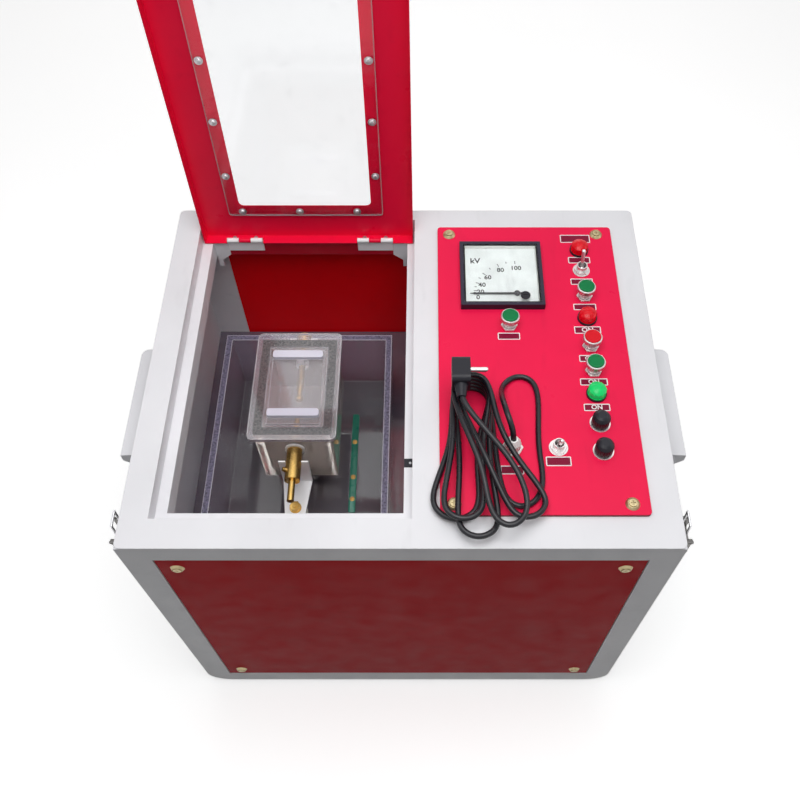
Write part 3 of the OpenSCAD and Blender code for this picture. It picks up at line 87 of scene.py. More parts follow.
class ShaderGraph:
    """The nodes of one material round its Principled shader."""

    def __init__(self, name: str) -> None:
        """Starts a material.

        Args:
            name: The material's name.
        """
        self.material = bpy.data.materials.new(name)
        self.material.use_nodes = True
        self.tree = self.material.node_tree
        self.shader = self.tree.nodes["Principled BSDF"]
        self.place = self.add("ShaderNodeTexCoord")
        self.coords = self.place.outputs["Object"]

    def add(self, kind: str, **settings: object) -> bpy.types.Node:
        """Adds a node.

        Args:
            kind: The node's type name.
            **settings: Properties to set on it.

        Returns:
            The new node.
        """
        node = self.tree.nodes.new(kind)
        for key, value in settings.items():
            setattr(node, key, value)
        return node

    def join(self, source: object, target: object) -> None:
        """Links an output socket to an input socket."""
        self.tree.links.new(source, target)

    def set(self, **values: object) -> None:
        """Sets sockets of the shader, named with underscores for spaces."""
        for key, value in values.items():
            self.shader.inputs[key.replace("_", " ")].default_value = value

    def noise(self, scale: float, detail: float = 3.0, stretch: Point = (1, 1, 1)) -> object:
        """Adds a noise pattern.

        Args:
            scale: Features in a metre.
            detail: Octaves of finer features.
            stretch: Factors on the three axes.

        Returns:
            The pattern's value socket.
        """
        mapping = self.add("ShaderNodeMapping")
        mapping.inputs["Scale"].default_value = stretch
        self.join(self.coords, mapping.inputs["Vector"])
        noise = self.add("ShaderNodeTexNoise")
        noise.inputs["Scale"].default_value = scale
        noise.inputs["Detail"].default_value = detail
        self.join(mapping.outputs["Vector"], noise.inputs["Vector"])
        return noise.outputs["Fac"]

    def span(
        self, value: object, low: float, high: float, start: float = 0.3, end: float = 0.7
    ) -> object:
        """Maps a pattern to a range.

        Args:
            value: The pattern's socket.
            low: What the start becomes.
            high: What the end becomes.
            start: The pattern's low value.
            end: The pattern's high value.

        Returns:
            The mapped value socket.
        """
        node = self.add("ShaderNodeMapRange")
        self.join(value, node.inputs["Value"])
        ends = {"From Min": start, "From Max": end, "To Min": low, "To Max": high}
        for key, number in ends.items():
            node.inputs[key].default_value = number
        return node.outputs["Result"]

    def math(self, operation: str, first: object, second: object) -> object:
        """Works on two sockets or numbers.

        Args:
            operation: The name of a sum, product or comparison.
            first: The first socket or number.
            second: The second socket or number.

        Returns:
            The value socket.
        """
        node = self.add("ShaderNodeMath", operation=operation)
        for index, item in enumerate((first, second)):
            if isinstance(item, (int, float)):
                node.inputs[index].default_value = item
            else:
                self.join(item, node.inputs[index])
        return node.outputs["Value"]

    def blend(self, factor: object, first: object, second: object) -> object:
        """Mixes two colours.

        Args:
            factor: The socket that turns the first into the second.
            first: A colour or a colour socket.
            second: A colour or a colour socket.

        Returns:
            The mixed colour socket.
        """
        node = self.add("ShaderNodeMix", data_type="RGBA")
        self.join(factor, node.inputs["Factor"])
        for index, item in zip(MIX_COLOURS, (first, second)):
            if isinstance(item, tuple):
                node.inputs[index].default_value = (*item, 1)
            else:
                self.join(item, node.inputs[index])
        return node.outputs[MIX_RESULT]

    def tones(self, factor: object, colour: Colour, low: float, high: float) -> object:
        """Returns the socket of a colour that a pattern takes from one shade of it to another."""
        return self.blend(factor, shade(colour, low), shade(colour, high))

    def paint(self, socket: object) -> None:
        """Feeds the base colour."""
        self.join(socket, self.shader.inputs["Base Color"])

    def rough(self, socket: object) -> None:
        """Feeds the roughness."""
        self.join(socket, self.shader.inputs["Roughness"])

    def rough_about(self, pattern: object, middle: float, below: float, above: float) -> None:
        """Feeds the roughness with a pattern.

        Args:
            pattern: The pattern's socket.
            middle: The finish's roughness.
            below: How far the pattern takes it down.
            above: How far the pattern takes it up.
        """
        self.rough(self.span(pattern, middle - below, middle + above))

    def relief(self, height: object, depth: float, radius: float = 0.0) -> None:
        """Feeds the normal with a height pattern.

        Args:
            height: The pattern's socket.
            depth: How deep the pattern is, in metres.
            radius: How far sharp edges look rounded, in metres.
        """
        bump = self.add("ShaderNodeBump")
        bump.inputs["Distance"].default_value = depth
        self.join(height, bump.inputs["Height"])
        if radius:
            bevel = self.add("ShaderNodeBevel", samples=BEVEL_SAMPLES)
            bevel.inputs["Radius"].default_value = radius
            self.join(bevel.outputs["Normal"], bump.inputs["Normal"])
        self.join(bump.outputs["Normal"], self.shader.inputs["Normal"])

    def within(self, low: Point, high: Point) -> object:
        """Finds what lies in a box.

        Args:
            low: The box's lowest corner, in millimetres.
            high: The box's highest corner, in millimetres.

        Returns:
            A value socket that is 1 inside the box and 0 outside it.
        """
        split = self.add("ShaderNodeSeparateXYZ")
        self.join(self.coords, split.inputs[0])
        inside = None
        for axis, start, end in zip("XYZ", low, high):
            above = self.math("GREATER_THAN", split.outputs[axis], metres(start))
            below = self.math("LESS_THAN", split.outputs[axis], metres(end))
            both = self.math("MULTIPLY", above, below)
            inside = both if inside is None else self.math("MULTIPLY", inside, both)
        return inside

    def edges(self, radius: float, gain: float) -> object:
        """Finds sharp edges, for wear.

        Args:
            radius: How far from an edge it reaches, in metres.
            gain: How fast it grows towards the edge.

        Returns:
            A value socket from 0 on a flat to 1 on an edge.
        """
        bevel = self.add("ShaderNodeBevel", samples=BEVEL_SAMPLES)
        bevel.inputs["Radius"].default_value = radius
        geometry = self.add("ShaderNodeNewGeometry")
        dot = self.add("ShaderNodeVectorMath", operation="DOT_PRODUCT")
        self.join(bevel.outputs["Normal"], dot.inputs[0])
        self.join(geometry.outputs["Normal"], dot.inputs[1])
        return self.span(dot.outputs["Value"], 1.0, 0.0, 1.0 - 1.0 / gain, 1.0)


def shade(colour: Colour, factor: float, lift: float = 0.0) -> Colour:
    """Returns a colour made lighter or darker, kept below the brightest that a surface can be."""
    return tuple(min(BRIGHTEST, channel * factor + lift) for channel in colour)


@dataclass(frozen=True)
class Finish:
    """What every finish of the tester has."""

    name: str
    slot: str
    colour: Colour
    made: ClassVar[dict[str, bpy.types.Material]] = {}

    def material(self) -> bpy.types.Material:
        """Makes the finish's material at its first use.

        Returns:
            The material.
        """
        if self.name not in Finish.made:
            graph = ShaderGraph(self.name)
            self.draw(graph)
            Finish.made[self.name] = graph.material
        return Finish.made[self.name]

    def draw(self, graph: ShaderGraph) -> None:
        """Draws the finish on a new graph."""
        raise NotImplementedError


@dataclass(frozen=True)
class SheetCoat(Finish):
    """A powder coat or enamel on folded sheet steel."""

    roughness: float = 0.35
    peel_scale: float = 700.0
    peel_depth: float = 0.00006
    wear_and_sheen: float = 0.25
    shine: float = 0.4
    other: Colour | None = None
    region: tuple = ()
    clouds: ClassVar[tuple] = (7.0, 4.0)
    tones: ClassVar[tuple] = (0.94, 1.04)
    scuffs: ClassVar[tuple] = (60.0, 8.0, (1.0, 0.25, 1.0))
    scuff_reach: ClassVar[tuple] = (0.0, 0.16, 0.58, 0.72)
    scuff_tone: ClassVar[float] = 0.72
    worn_edge: ClassVar[tuple] = (0.0012, 3.0)
    worn_tone: ClassVar[float] = 1.25
    polish: ClassVar[tuple] = (35.0, 5.0)
    soft_edge: ClassVar[float] = 0.0009

    def draw(self, graph: ShaderGraph) -> None:
        """Draws clouds of tone, orange peel, scuffs, lighter edges that are partly wear and partly
        painted highlight, and a region in another colour.

        Args:
            graph: The new material's graph.
        """
        clouds = graph.span(graph.noise(*self.clouds), 0.0, 1.0)
        base = graph.tones(clouds, self.colour, *self.tones)
        scuffs = graph.span(graph.noise(*self.scuffs), *self.scuff_reach)
        base = graph.blend(scuffs, base, shade(self.colour, self.scuff_tone))
        # Lighter colour along sharp edges: partly wear, partly painted highlight where the folded
        # edges catch the light.
        worn = graph.math("MULTIPLY", graph.edges(*self.worn_edge), self.wear_and_sheen)
        base = graph.blend(worn, base, shade(self.colour, self.worn_tone))
        # The other colour in its region is painted shade where the finishes use it: the control
        # panel's dark sides and the top frame's dark red rear flange.
        if self.other:
            other = graph.tones(clouds, self.other, *self.tones)
            base = graph.blend(graph.within(*self.region), base, other)
        graph.paint(base)
        graph.rough_about(graph.noise(*self.polish), self.roughness, 0.05, 0.08)
        graph.relief(graph.noise(self.peel_scale, 2.0), self.peel_depth, self.soft_edge)
        graph.set(Specular_IOR_Level=self.shine)


@dataclass(frozen=True)
class BareMetal(Finish):
    """Turned, plated or brushed metal."""

    roughness: float = 0.3
    lines: Point = (1.0, 1.0, 1.0)
    line_scale: float = 500.0
    dirt: float = 0.3
    patches: ClassVar[tuple] = (120.0, 6.0)
    tarnish: ClassVar[float] = 0.55
    bright_edge: ClassVar[tuple] = (0.0006, 2.5)
    bright_share: ClassVar[float] = 0.6
    bright_tone: ClassVar[float] = 1.3
    tool_depth: ClassVar[float] = 0.00004
    soft_edge: ClassVar[float] = 0.0005

    def draw(self, graph: ShaderGraph) -> None:
        """Draws tool lines, tarnish in patches and bright edges.

        Args:
            graph: The new material's graph.
        """
        patches = graph.span(graph.noise(*self.patches), 0.0, self.dirt, 0.4, 0.75)
        base = graph.blend(patches, self.colour, shade(self.colour, self.tarnish))
        bright = graph.math("MULTIPLY", graph.edges(*self.bright_edge), self.bright_share)
        graph.paint(graph.blend(bright, base, shade(self.colour, self.bright_tone)))
        tool = graph.noise(self.line_scale, 3.0, self.lines)
        graph.rough_about(tool, self.roughness, 0.08, 0.12)
        graph.relief(tool, self.tool_depth, self.soft_edge)
        graph.set(Metallic=1.0)


@dataclass(frozen=True)
class Moulded(Finish):
    """Moulded plastic, rubber, laminate or glazed porcelain."""

    roughness: float = 0.35
    grain_scale: float = 900.0
    grain_depth: float = 0.00003
    coat: float = 0.0
    edge: float = 0.0006
    shine: float = 0.45
    other: Colour | None = None
    region: tuple = ()
    clouds: ClassVar[tuple] = (40.0, 4.0)
    tones: ClassVar[tuple] = (0.90, 1.08)
    other_tones: ClassVar[tuple] = (0.96, 1.03)
    worn_edge: ClassVar[tuple] = (0.0007, 3.0)
    worn_share: ClassVar[float] = 0.25
    worn_tone: ClassVar[tuple] = (1.2, 0.02)
    polish: ClassVar[tuple] = (150.0, 5.0)

    def draw(self, graph: ShaderGraph) -> None:
        """Draws faint tone changes, a fine grain, soft edges and a region in another colour.

        Args:
            graph: The new material's graph.
        """
        clouds = graph.span(graph.noise(*self.clouds), 0.0, 1.0)
        base = graph.tones(clouds, self.colour, *self.tones)
        worn = graph.math("MULTIPLY", graph.edges(*self.worn_edge), self.worn_share)
        base = graph.blend(worn, base, shade(self.colour, *self.worn_tone))
        if self.other:
            other = graph.tones(clouds, self.other, *self.other_tones)
            base = graph.blend(graph.within(*self.region), base, other)
        graph.paint(base)
        graph.rough_about(graph.noise(*self.polish), self.roughness, 0.06, 0.08)
        graph.relief(graph.noise(self.grain_scale, 2.0), self.grain_depth, self.edge)
        graph.set(Coat_Weight=self.coat, Coat_Roughness=0.08, Specular_IOR_Level=self.shine)


class CutEdge(Enum):
    """Where the sawn edges of a clear sheet piece are."""

    RIM = "top rim"
    ROUND_Z = "sides of a flat sheet"
    ROUND_Y = "sides of an upright sheet"
    NONE = "nowhere"


@dataclass(frozen=True)
class ClearSheet(Finish):
    """Clear acrylic sheet with polished faces and sawn, milky edges."""

    roughness: float = 0.03
    cut: CutEdge = CutEdge.NONE
    rim: float = 0.0
    ior: float = 1.49
    haze: float = 0.0
    # How much of every edge is painted as a whiter highlight.
    edge_glint: float = 0.5
    rim_tone: Colour = (0.19, 0.17, 0.27)
    frosted: tuple = ()
    scratches: ClassVar[tuple] = (90.0, 9.0, (1.0, 0.2, 1.0))
    scratch_tone: ClassVar[float] = 0.93
    scratch_rough: ClassVar[float] = 0.05
    lit_edge: ClassVar[tuple] = (0.0022, 12.0)
    chalk: ClassVar[tuple] = (400.0, 6.0)
    chalk_tones: ClassVar[tuple] = (0.5, 1.5)
    wipes: ClassVar[tuple] = (900.0, 4.0, (1.0, 0.15, 1.0))
    wipe_depth: ClassVar[float] = 0.00001
    frost: ClassVar[Colour] = (0.70, 0.69, 0.80)
    # The whitish line at the borders of the sawn edges: painted highlight.
    glint_colour: ClassVar[Colour] = (0.90, 0.88, 0.95)
    sawn_rough: ClassVar[float] = 0.55
    sawn_through: ClassVar[float] = 0.25

    def draw(self, graph: ShaderGraph) -> None:
        """Draws clear faces with fine scratches, sawn edges, frosted bars and whiter, less clear
        lines along the edges, which are painted highlight.

        Args:
            graph: The new material's graph.
        """
        scratches = graph.span(graph.noise(*self.scratches), 0.0, 1.0, 0.55, 0.75)
        # Whiter, less clear bands along every edge: painted highlight where the sheet's edges catch
        # the light.
        lines = graph.edges(*self.lit_edge)
        glint_share = graph.math("MULTIPLY", lines, self.edge_glint)
        base = graph.blend(scratches, self.colour, shade(self.colour, self.scratch_tone))
        sawn = self.sawn(graph)
        if sawn is None:
            dull = self.roughness + self.scratch_rough
            graph.rough(graph.span(scratches, self.roughness, dull, 0.0, 1.0))
            through = graph.math("SUBTRACT", 1.0 - self.haze, glint_share)
        else:
            chalk = graph.span(graph.noise(*self.chalk), 0.0, 1.0, 0.35, 0.65)
            milky = graph.tones(chalk, self.rim_tone, *self.chalk_tones)
            base = graph.blend(sawn, base, graph.blend(lines, milky, self.glint_colour))
            graph.rough(graph.span(sawn, self.roughness, self.sawn_rough, 0.0, 1.0))
            through = graph.span(sawn, 1.0 - self.haze, self.sawn_through, 0.0, 1.0)
            through = graph.math("MULTIPLY", through, graph.math("SUBTRACT", 1.0, glint_share))
        if self.frosted:
            frost = graph.within(*self.frosted)
            base = graph.blend(frost, base, self.frost)
            through = graph.math("MULTIPLY", through, graph.math("SUBTRACT", 1.0, frost))
        graph.paint(base)
        graph.join(through, graph.shader.inputs["Transmission Weight"])
        graph.relief(graph.noise(*self.wipes), self.wipe_depth)
        graph.set(IOR=self.ior)

    def sawn(self, graph: ShaderGraph) -> object:
        """Finds the sawn edges.

        Args:
            graph: The new material's graph.

        Returns:
            The socket that is 1 on a sawn edge, or None where the sheet has none.
        """
        if self.cut is CutEdge.NONE:
            return None
        split = graph.add("ShaderNodeSeparateXYZ")
        if self.cut is CutEdge.RIM:
            graph.join(graph.coords, split.inputs[0])
            return graph.math("GREATER_THAN", split.outputs["Z"], self.rim)
        graph.join(graph.place.outputs["Normal"], split.inputs[0])
        axis = "Z" if self.cut is CutEdge.ROUND_Z else "Y"
        return graph.math("LESS_THAN", graph.math("ABSOLUTE", split.outputs[axis], 0), 0.5)


@dataclass(frozen=True)
class Lens(Finish):
    """A clear coloured lamp lens."""

    glow: float = 0.0

    def draw(self, graph: ShaderGraph) -> None:
        """Draws coloured plastic that lets some light through.

        Args:
            graph: The new material's graph.
        """
        clouds = graph.span(graph.noise(200.0), 0.0, 1.0)
        graph.paint(graph.tones(clouds, self.colour, 1.0, 0.8))
        graph.rough(graph.span(graph.noise(300.0), 0.08, 0.18))
        graph.relief(graph.noise(500.0, 2.0), 0.00002)
        graph.set(Transmission_Weight=0.1, IOR=1.40, Specular_IOR_Level=0.2)
        graph.set(Coat_Weight=0.1, Coat_Roughness=0.05)
        graph.set(Emission_Color=(*self.colour, 1), Emission_Strength=self.glow)


@dataclass(frozen=True)
class Winding(Finish):
    """Enamelled copper wire wound side by side round an upright core."""

    pitch: float = 0.0012

    def draw(self, graph: ShaderGraph) -> None:
        """Draws fine upright wires, with darker bands between them that are painted shade.

        Args:
            graph: The new material's graph.
        """
        wave = graph.add("ShaderNodeTexWave", wave_type="BANDS", bands_direction="DIAGONAL")
        wave.inputs["Scale"].default_value = 0.3 / self.pitch
        graph.join(graph.coords, wave.inputs["Vector"])
        # The darker bands between the wires are painted shade.
        graph.paint(graph.tones(wave.outputs["Fac"], self.colour, 0.35, 1.0))
        graph.rough(graph.span(graph.noise(200.0), 0.25, 0.4))
        graph.relief(wave.outputs["Fac"], 0.0003)
        graph.set(Metallic=0.7)


# A lighter copy of the white powder coat, for the hinge leaves and cup brackets: painted light that
# lifts parts lying in shade.
LIGHTENED_WHITE_PAINT = SheetCoat(
    "white_coat_painted_light", "white_paint", (0.93, 0.93, 0.95), roughness=0.38, peel_scale=650.0,
    peel_depth=0.00006, wear_and_sheen=0.2,
)
WHITE_PAINT = SheetCoat(
    "white_powder_coat", "white_paint", (0.80, 0.80, 0.83), roughness=0.38, peel_scale=650.0,
    peel_depth=0.00008, wear_and_sheen=0.2,
)
RED_PAINT = SheetCoat(
    "red_enamel", "red_paint", (0.90, 0.006, 0.050), roughness=0.32, peel_scale=500.0,
    peel_depth=0.00004, wear_and_sheen=0.25, shine=0.16,
)
# A lighter copy of the red enamel for the rear panel, which is seen in the shaded chamber: painted
# light.
LIGHTENED_REAR_RED = SheetCoat(
    "rear_enamel_painted_light", "red_paint", (0.97, 0.002, 0.008), roughness=0.34, peel_scale=500.0,
    peel_depth=0.00004, wear_and_sheen=0.25, shine=0.10,
)
# A darker copy of the red enamel for the front panel, which stands in less light than the top:
# painted shade.
SHADED_FRONT_RED = SheetCoat(
    "front_enamel_painted_shade", "red_paint", (0.66, 0.006, 0.014), roughness=0.40, peel_scale=500.0,
    peel_depth=0.00005, wear_and_sheen=0.35, shine=0.02,
)
# The control panel's red enamel, with a dark red region below z 486 that paints its sides dark:
# painted shade for the gap round the panel.
PANEL_RED_SHADED_SIDES = SheetCoat(
    "panel_enamel_shaded_sides", "red_paint", (0.88, 0.010, 0.074), roughness=0.32, peel_scale=500.0,
    peel_depth=0.00004, wear_and_sheen=0.25, shine=0.16, other=(0.18, 0.001, 0.008),
    region=((0, -240, 480), (300, 240, 486.0)),
)
# The top frame's white powder coat, with a dark red region on the front face of its rear flange,
# painted like the rear wall in shade under the lid: painted shade.
FRAME_PAINT_SHADED_FLANGE = SheetCoat(
    "frame_coat_shaded_flange", "white_paint", (0.80, 0.80, 0.83), roughness=0.38, peel_scale=650.0,
    peel_depth=0.00008, wear_and_sheen=0.2, shine=0.4, other=(0.50, 0.004, 0.020),
    region=((-236, 190.5, 430), (0, 194.6, 462.6)),
)
GREY_COAT = SheetCoat(
    "grey_coat", "galvanised", (0.42, 0.42, 0.44), roughness=0.45, peel_scale=400.0,
    peel_depth=0.00006, wear_and_sheen=0.3,
)
TANK_PAINT = SheetCoat(
    "tank_enamel", "tank_paint", (0.10, 0.12, 0.15), roughness=0.35, peel_scale=300.0,
    peel_depth=0.00008, wear_and_sheen=0.3,
)
ZINC = BareMetal(
    "zinc_plated_steel", "steel", (0.62, 0.62, 0.64), roughness=0.34, lines=(1, 6, 1),
    line_scale=350.0, dirt=0.25,
)
NICKEL = BareMetal(
    "nickel_plate", "chrome_steel", (0.60, 0.57, 0.57), roughness=0.32, lines=(1, 1, 2),
    line_scale=200.0, dirt=0.25,
)
BRASS = BareMetal(
    "turned_brass", "brass", (0.58, 0.38, 0.12), roughness=0.28, lines=(1, 9, 1), line_scale=320.0,
    dirt=0.5,
)
YELLOW_ZINC = BareMetal(
    "yellow_zinc", "yellow_zinc", (0.46, 0.38, 0.22), roughness=0.36, lines=(1, 1, 4),
    line_scale=300.0, dirt=0.8,
)
FLOOR_SHEET = Moulded(
    "dark_laminate", "floor_sheet", (0.150, 0.122, 0.160), roughness=0.10, grain_scale=250.0,
    grain_depth=0.00001, coat=1.0, shine=1.0,
)
PORCELAIN = Moulded(
    "glazed_porcelain", "porcelain", (0.70, 0.68, 0.62), roughness=0.15, grain_scale=150.0,
    grain_depth=0.00003, coat=0.6,
)
WHITE_PLASTIC = Moulded("white_plastic", "white_plastic", (0.93, 0.92, 0.90), roughness=0.35)
BLACK_PLASTIC = Moulded(
    "black_plastic", "black_plastic", (0.012, 0.012, 0.018), roughness=0.36, shine=0.25,
)
METER_BLACK = Moulded(
    "meter_bezel_plastic", "black_plastic", (0.020, 0.014, 0.034), roughness=0.34, shine=0.3,
    other=(0.80, 0.80, 0.77), region=((70.8, 71.8, 487), (155.2, 156.2, 493.9)),
)
GREEN_PLASTIC = Moulded(
    "green_button_plastic", "green_plastic", (0.006, 0.20, 0.060), roughness=0.40, shine=0.15,
)
RED_PLASTIC = Moulded(
    "red_button_plastic", "red_plastic", (0.74, 0.010, 0.022), roughness=0.40, shine=0.15,
)
RUBBER = Moulded(
    "foot_rubber", "rubber", (0.022, 0.022, 0.022), roughness=0.72, grain_scale=600.0,
    grain_depth=0.00008,
)
SHEATH = Moulded(
    "cord_sheath", "cord_sheath", (0.008, 0.008, 0.012), roughness=0.30, grain_scale=450.0,
    grain_depth=0.00005, edge=0.0, shine=0.35,
)
BOARD = Moulded(
    "circuit_board", "board", (0.010, 0.10, 0.035), roughness=0.30, grain_scale=300.0,
    grain_depth=0.00008,
)
DIAL_FACE = Moulded(
    "dial_face", "dial_face", (0.80, 0.84, 0.83), roughness=0.60, grain_scale=1200.0,
    grain_depth=0.00001, edge=0.0, other=(0.03, 0.03, 0.04),
    region=((125, 81, 489.6), (135, 91, 494)),
)
PRINT_BLACK = Moulded(
    "dial_ink", "black_plastic", (0.012, 0.012, 0.014), roughness=0.6, grain_scale=1200.0,
    grain_depth=0.00001, edge=0.0, shine=0.1,
)
LABEL_WHITE = Moulded(
    "label_ink", "white_plastic", (0.85, 0.80, 0.81), roughness=0.45, grain_scale=1200.0,
    grain_depth=0.00001, edge=0.0,
)
GREEN_WIRE = Moulded(
    "earth_lead_green", "green_plastic", (0.02, 0.20, 0.135), roughness=0.30, grain_scale=700.0,
    grain_depth=0.00003,
)
RED_LENS = Lens("red_lens", "red_lens", (0.80, 0.001, 0.012), glow=0.12)
GREEN_LENS = Lens("green_lens", "green_lens", (0.006, 0.60, 0.14), glow=0.30)
LATCH_STEEL = BareMetal(
    "blackened_steel", "steel", (0.16, 0.155, 0.15), roughness=0.30, lines=(1, 6, 1),
    line_scale=350.0, dirt=0.3,
)
LABEL_FIELD = Moulded(
    "label_field", "red_paint", (0.22, 0.006, 0.035), roughness=0.45, grain_scale=1200.0,
    grain_depth=0.00001, edge=0.0, shine=0.15,
)
COPPER = Winding("copper_winding", "copper", (0.55, 0.24, 0.09))
LID_SHEET = ClearSheet("lid_window_sheet", "clear_sheet", (0.93, 0.94, 0.95), cut=CutEdge.ROUND_Y)
BARRIER_SHEET = ClearSheet(
    "barrier_sheet", "clear_sheet", (0.88, 0.82, 0.93), cut=CutEdge.RIM, rim=0.3427, haze=0.12,
    edge_glint=0.25,
)
CUP_SHEET = ClearSheet(
    "cup_sheet", "clear_sheet", (0.92, 0.86, 0.80), roughness=0.05, cut=CutEdge.RIM, rim=0.4077,
    haze=0.30, rim_tone=(0.60, 0.56, 0.52),
)
COVER_SHEET = ClearSheet(
    "cover_sheet", "clear_sheet", (0.93, 0.89, 0.93), roughness=0.04, cut=CutEdge.ROUND_Z,
    haze=0.13, rim_tone=(0.50, 0.46, 0.52), frosted=((-170, -45, 413.1), (-90, 70, 419)),
)
METER_SHEET = ClearSheet(
    "meter_glass", "clear_sheet", (0.97, 0.98, 0.98), roughness=0.02, ior=1.45, edge_glint=0.0,
)


def deselect() -> None:
    """Goes back to object mode and selects nothing."""
    if bpy.context.object and bpy.context.object.mode != "OBJECT":
        bpy.ops.object.mode_set(mode="OBJECT")
    bpy.ops.object.select_all(action="DESELECT")


def choose(*pieces: bpy.types.Object) -> None:
    """Selects just these pieces and makes the first the active one.

    Args:
        *pieces: The pieces.
    """
    deselect()
    for piece in pieces:
        piece.select_set(True)
    bpy.context.view_layer.objects.active = pieces[0]


def settle(piece: bpy.types.Object) -> None:
    """Puts a piece's place, turn and size into its mesh."""
    choose(piece)
    bpy.ops.object.transform_apply(location=True, rotation=True, scale=True)


def fuse(name: str, pieces: Sequence[bpy.types.Object]) -> bpy.types.Object:
    """Joins pieces to one mesh.

    Args:
        name: The joined piece's name.
        pieces: What is joined.

    Returns:
        The joined piece, with its place in its mesh.
    """
    choose(*pieces)
    if len(pieces) > 1:
        bpy.ops.object.join()
    joined = bpy.context.object
    joined.name = name
    joined.data.name = name
    settle(joined)
    return joined


def finish_mesh(piece: bpy.types.Object, angle: float = 35.0) -> None:
    """Merges doubles, turns faces outwards and shades by angle.

    Args:
        piece: The mesh piece.
        angle: Edges sharper than this stay sharp, in degrees.
    """
    choose(piece)
    bpy.ops.object.mode_set(mode="EDIT")
    bpy.ops.mesh.select_all(action="SELECT")
    bpy.ops.mesh.remove_doubles(threshold=MERGE_DISTANCE)
    bpy.ops.mesh.normals_make_consistent(inside=False)
    bpy.ops.object.mode_set(mode="OBJECT")
    bpy.ops.object.shade_smooth_by_angle(angle=math.radians(angle))


def apply_modifier(piece: bpy.types.Object, kind: str, **settings: object) -> None:
    """Adds a modifier and applies it.

    Args:
        piece: The mesh piece.
        kind: The modifier's type name.
        **settings: Properties to set on it.
    """
    choose(piece)
    modifier = piece.modifiers.new(kind.lower(), kind)
    for key, value in settings.items():
        setattr(modifier, key, value)
    bpy.ops.object.modifier_apply(modifier=modifier.name)


def coat(
    piece: bpy.types.Object, finish: Finish, body: str, replaced: Iterable[str] = ()
) -> None:
    """Gives a piece its material and its body, and hides the nodes that it stands for.

    Args:
        piece: The finished piece.
        finish: Its finish.
        body: The body that it moves with.
        replaced: Names of the nodes that it replaces.
    """
    piece.data.materials.clear()
    piece.data.materials.append(finish.material())
    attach(piece, body)
    if replaced:
        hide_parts(*replaced)
    LOG.info("piece %s rides on %s", piece.name, body)


def complete(
    name: str, parts: Sequence[bpy.types.Object], finish: Finish, body: str
) -> bpy.types.Object:
    """Joins parts to one piece, cleans its mesh and dresses it.

    Args:
        name: The piece's name.
        parts: What is joined.
        finish: The piece's finish.
        body: The body that it moves with.

    Returns:
        The piece.
    """
    piece = fuse(name, parts)
    finish_mesh(piece)
    coat(piece, finish, body)
    return piece


def dress(finish: Finish, *names: str) -> None:
    """Gives nodes of the frame a material.

    Args:
        finish: The finish.
        *names: The nodes' names.
    """
    for name in names:
        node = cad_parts[name]
        node.data.materials.clear()
        node.data.materials.append(finish.material())
        LOG.info("node %s has finish %s", name, finish.name)


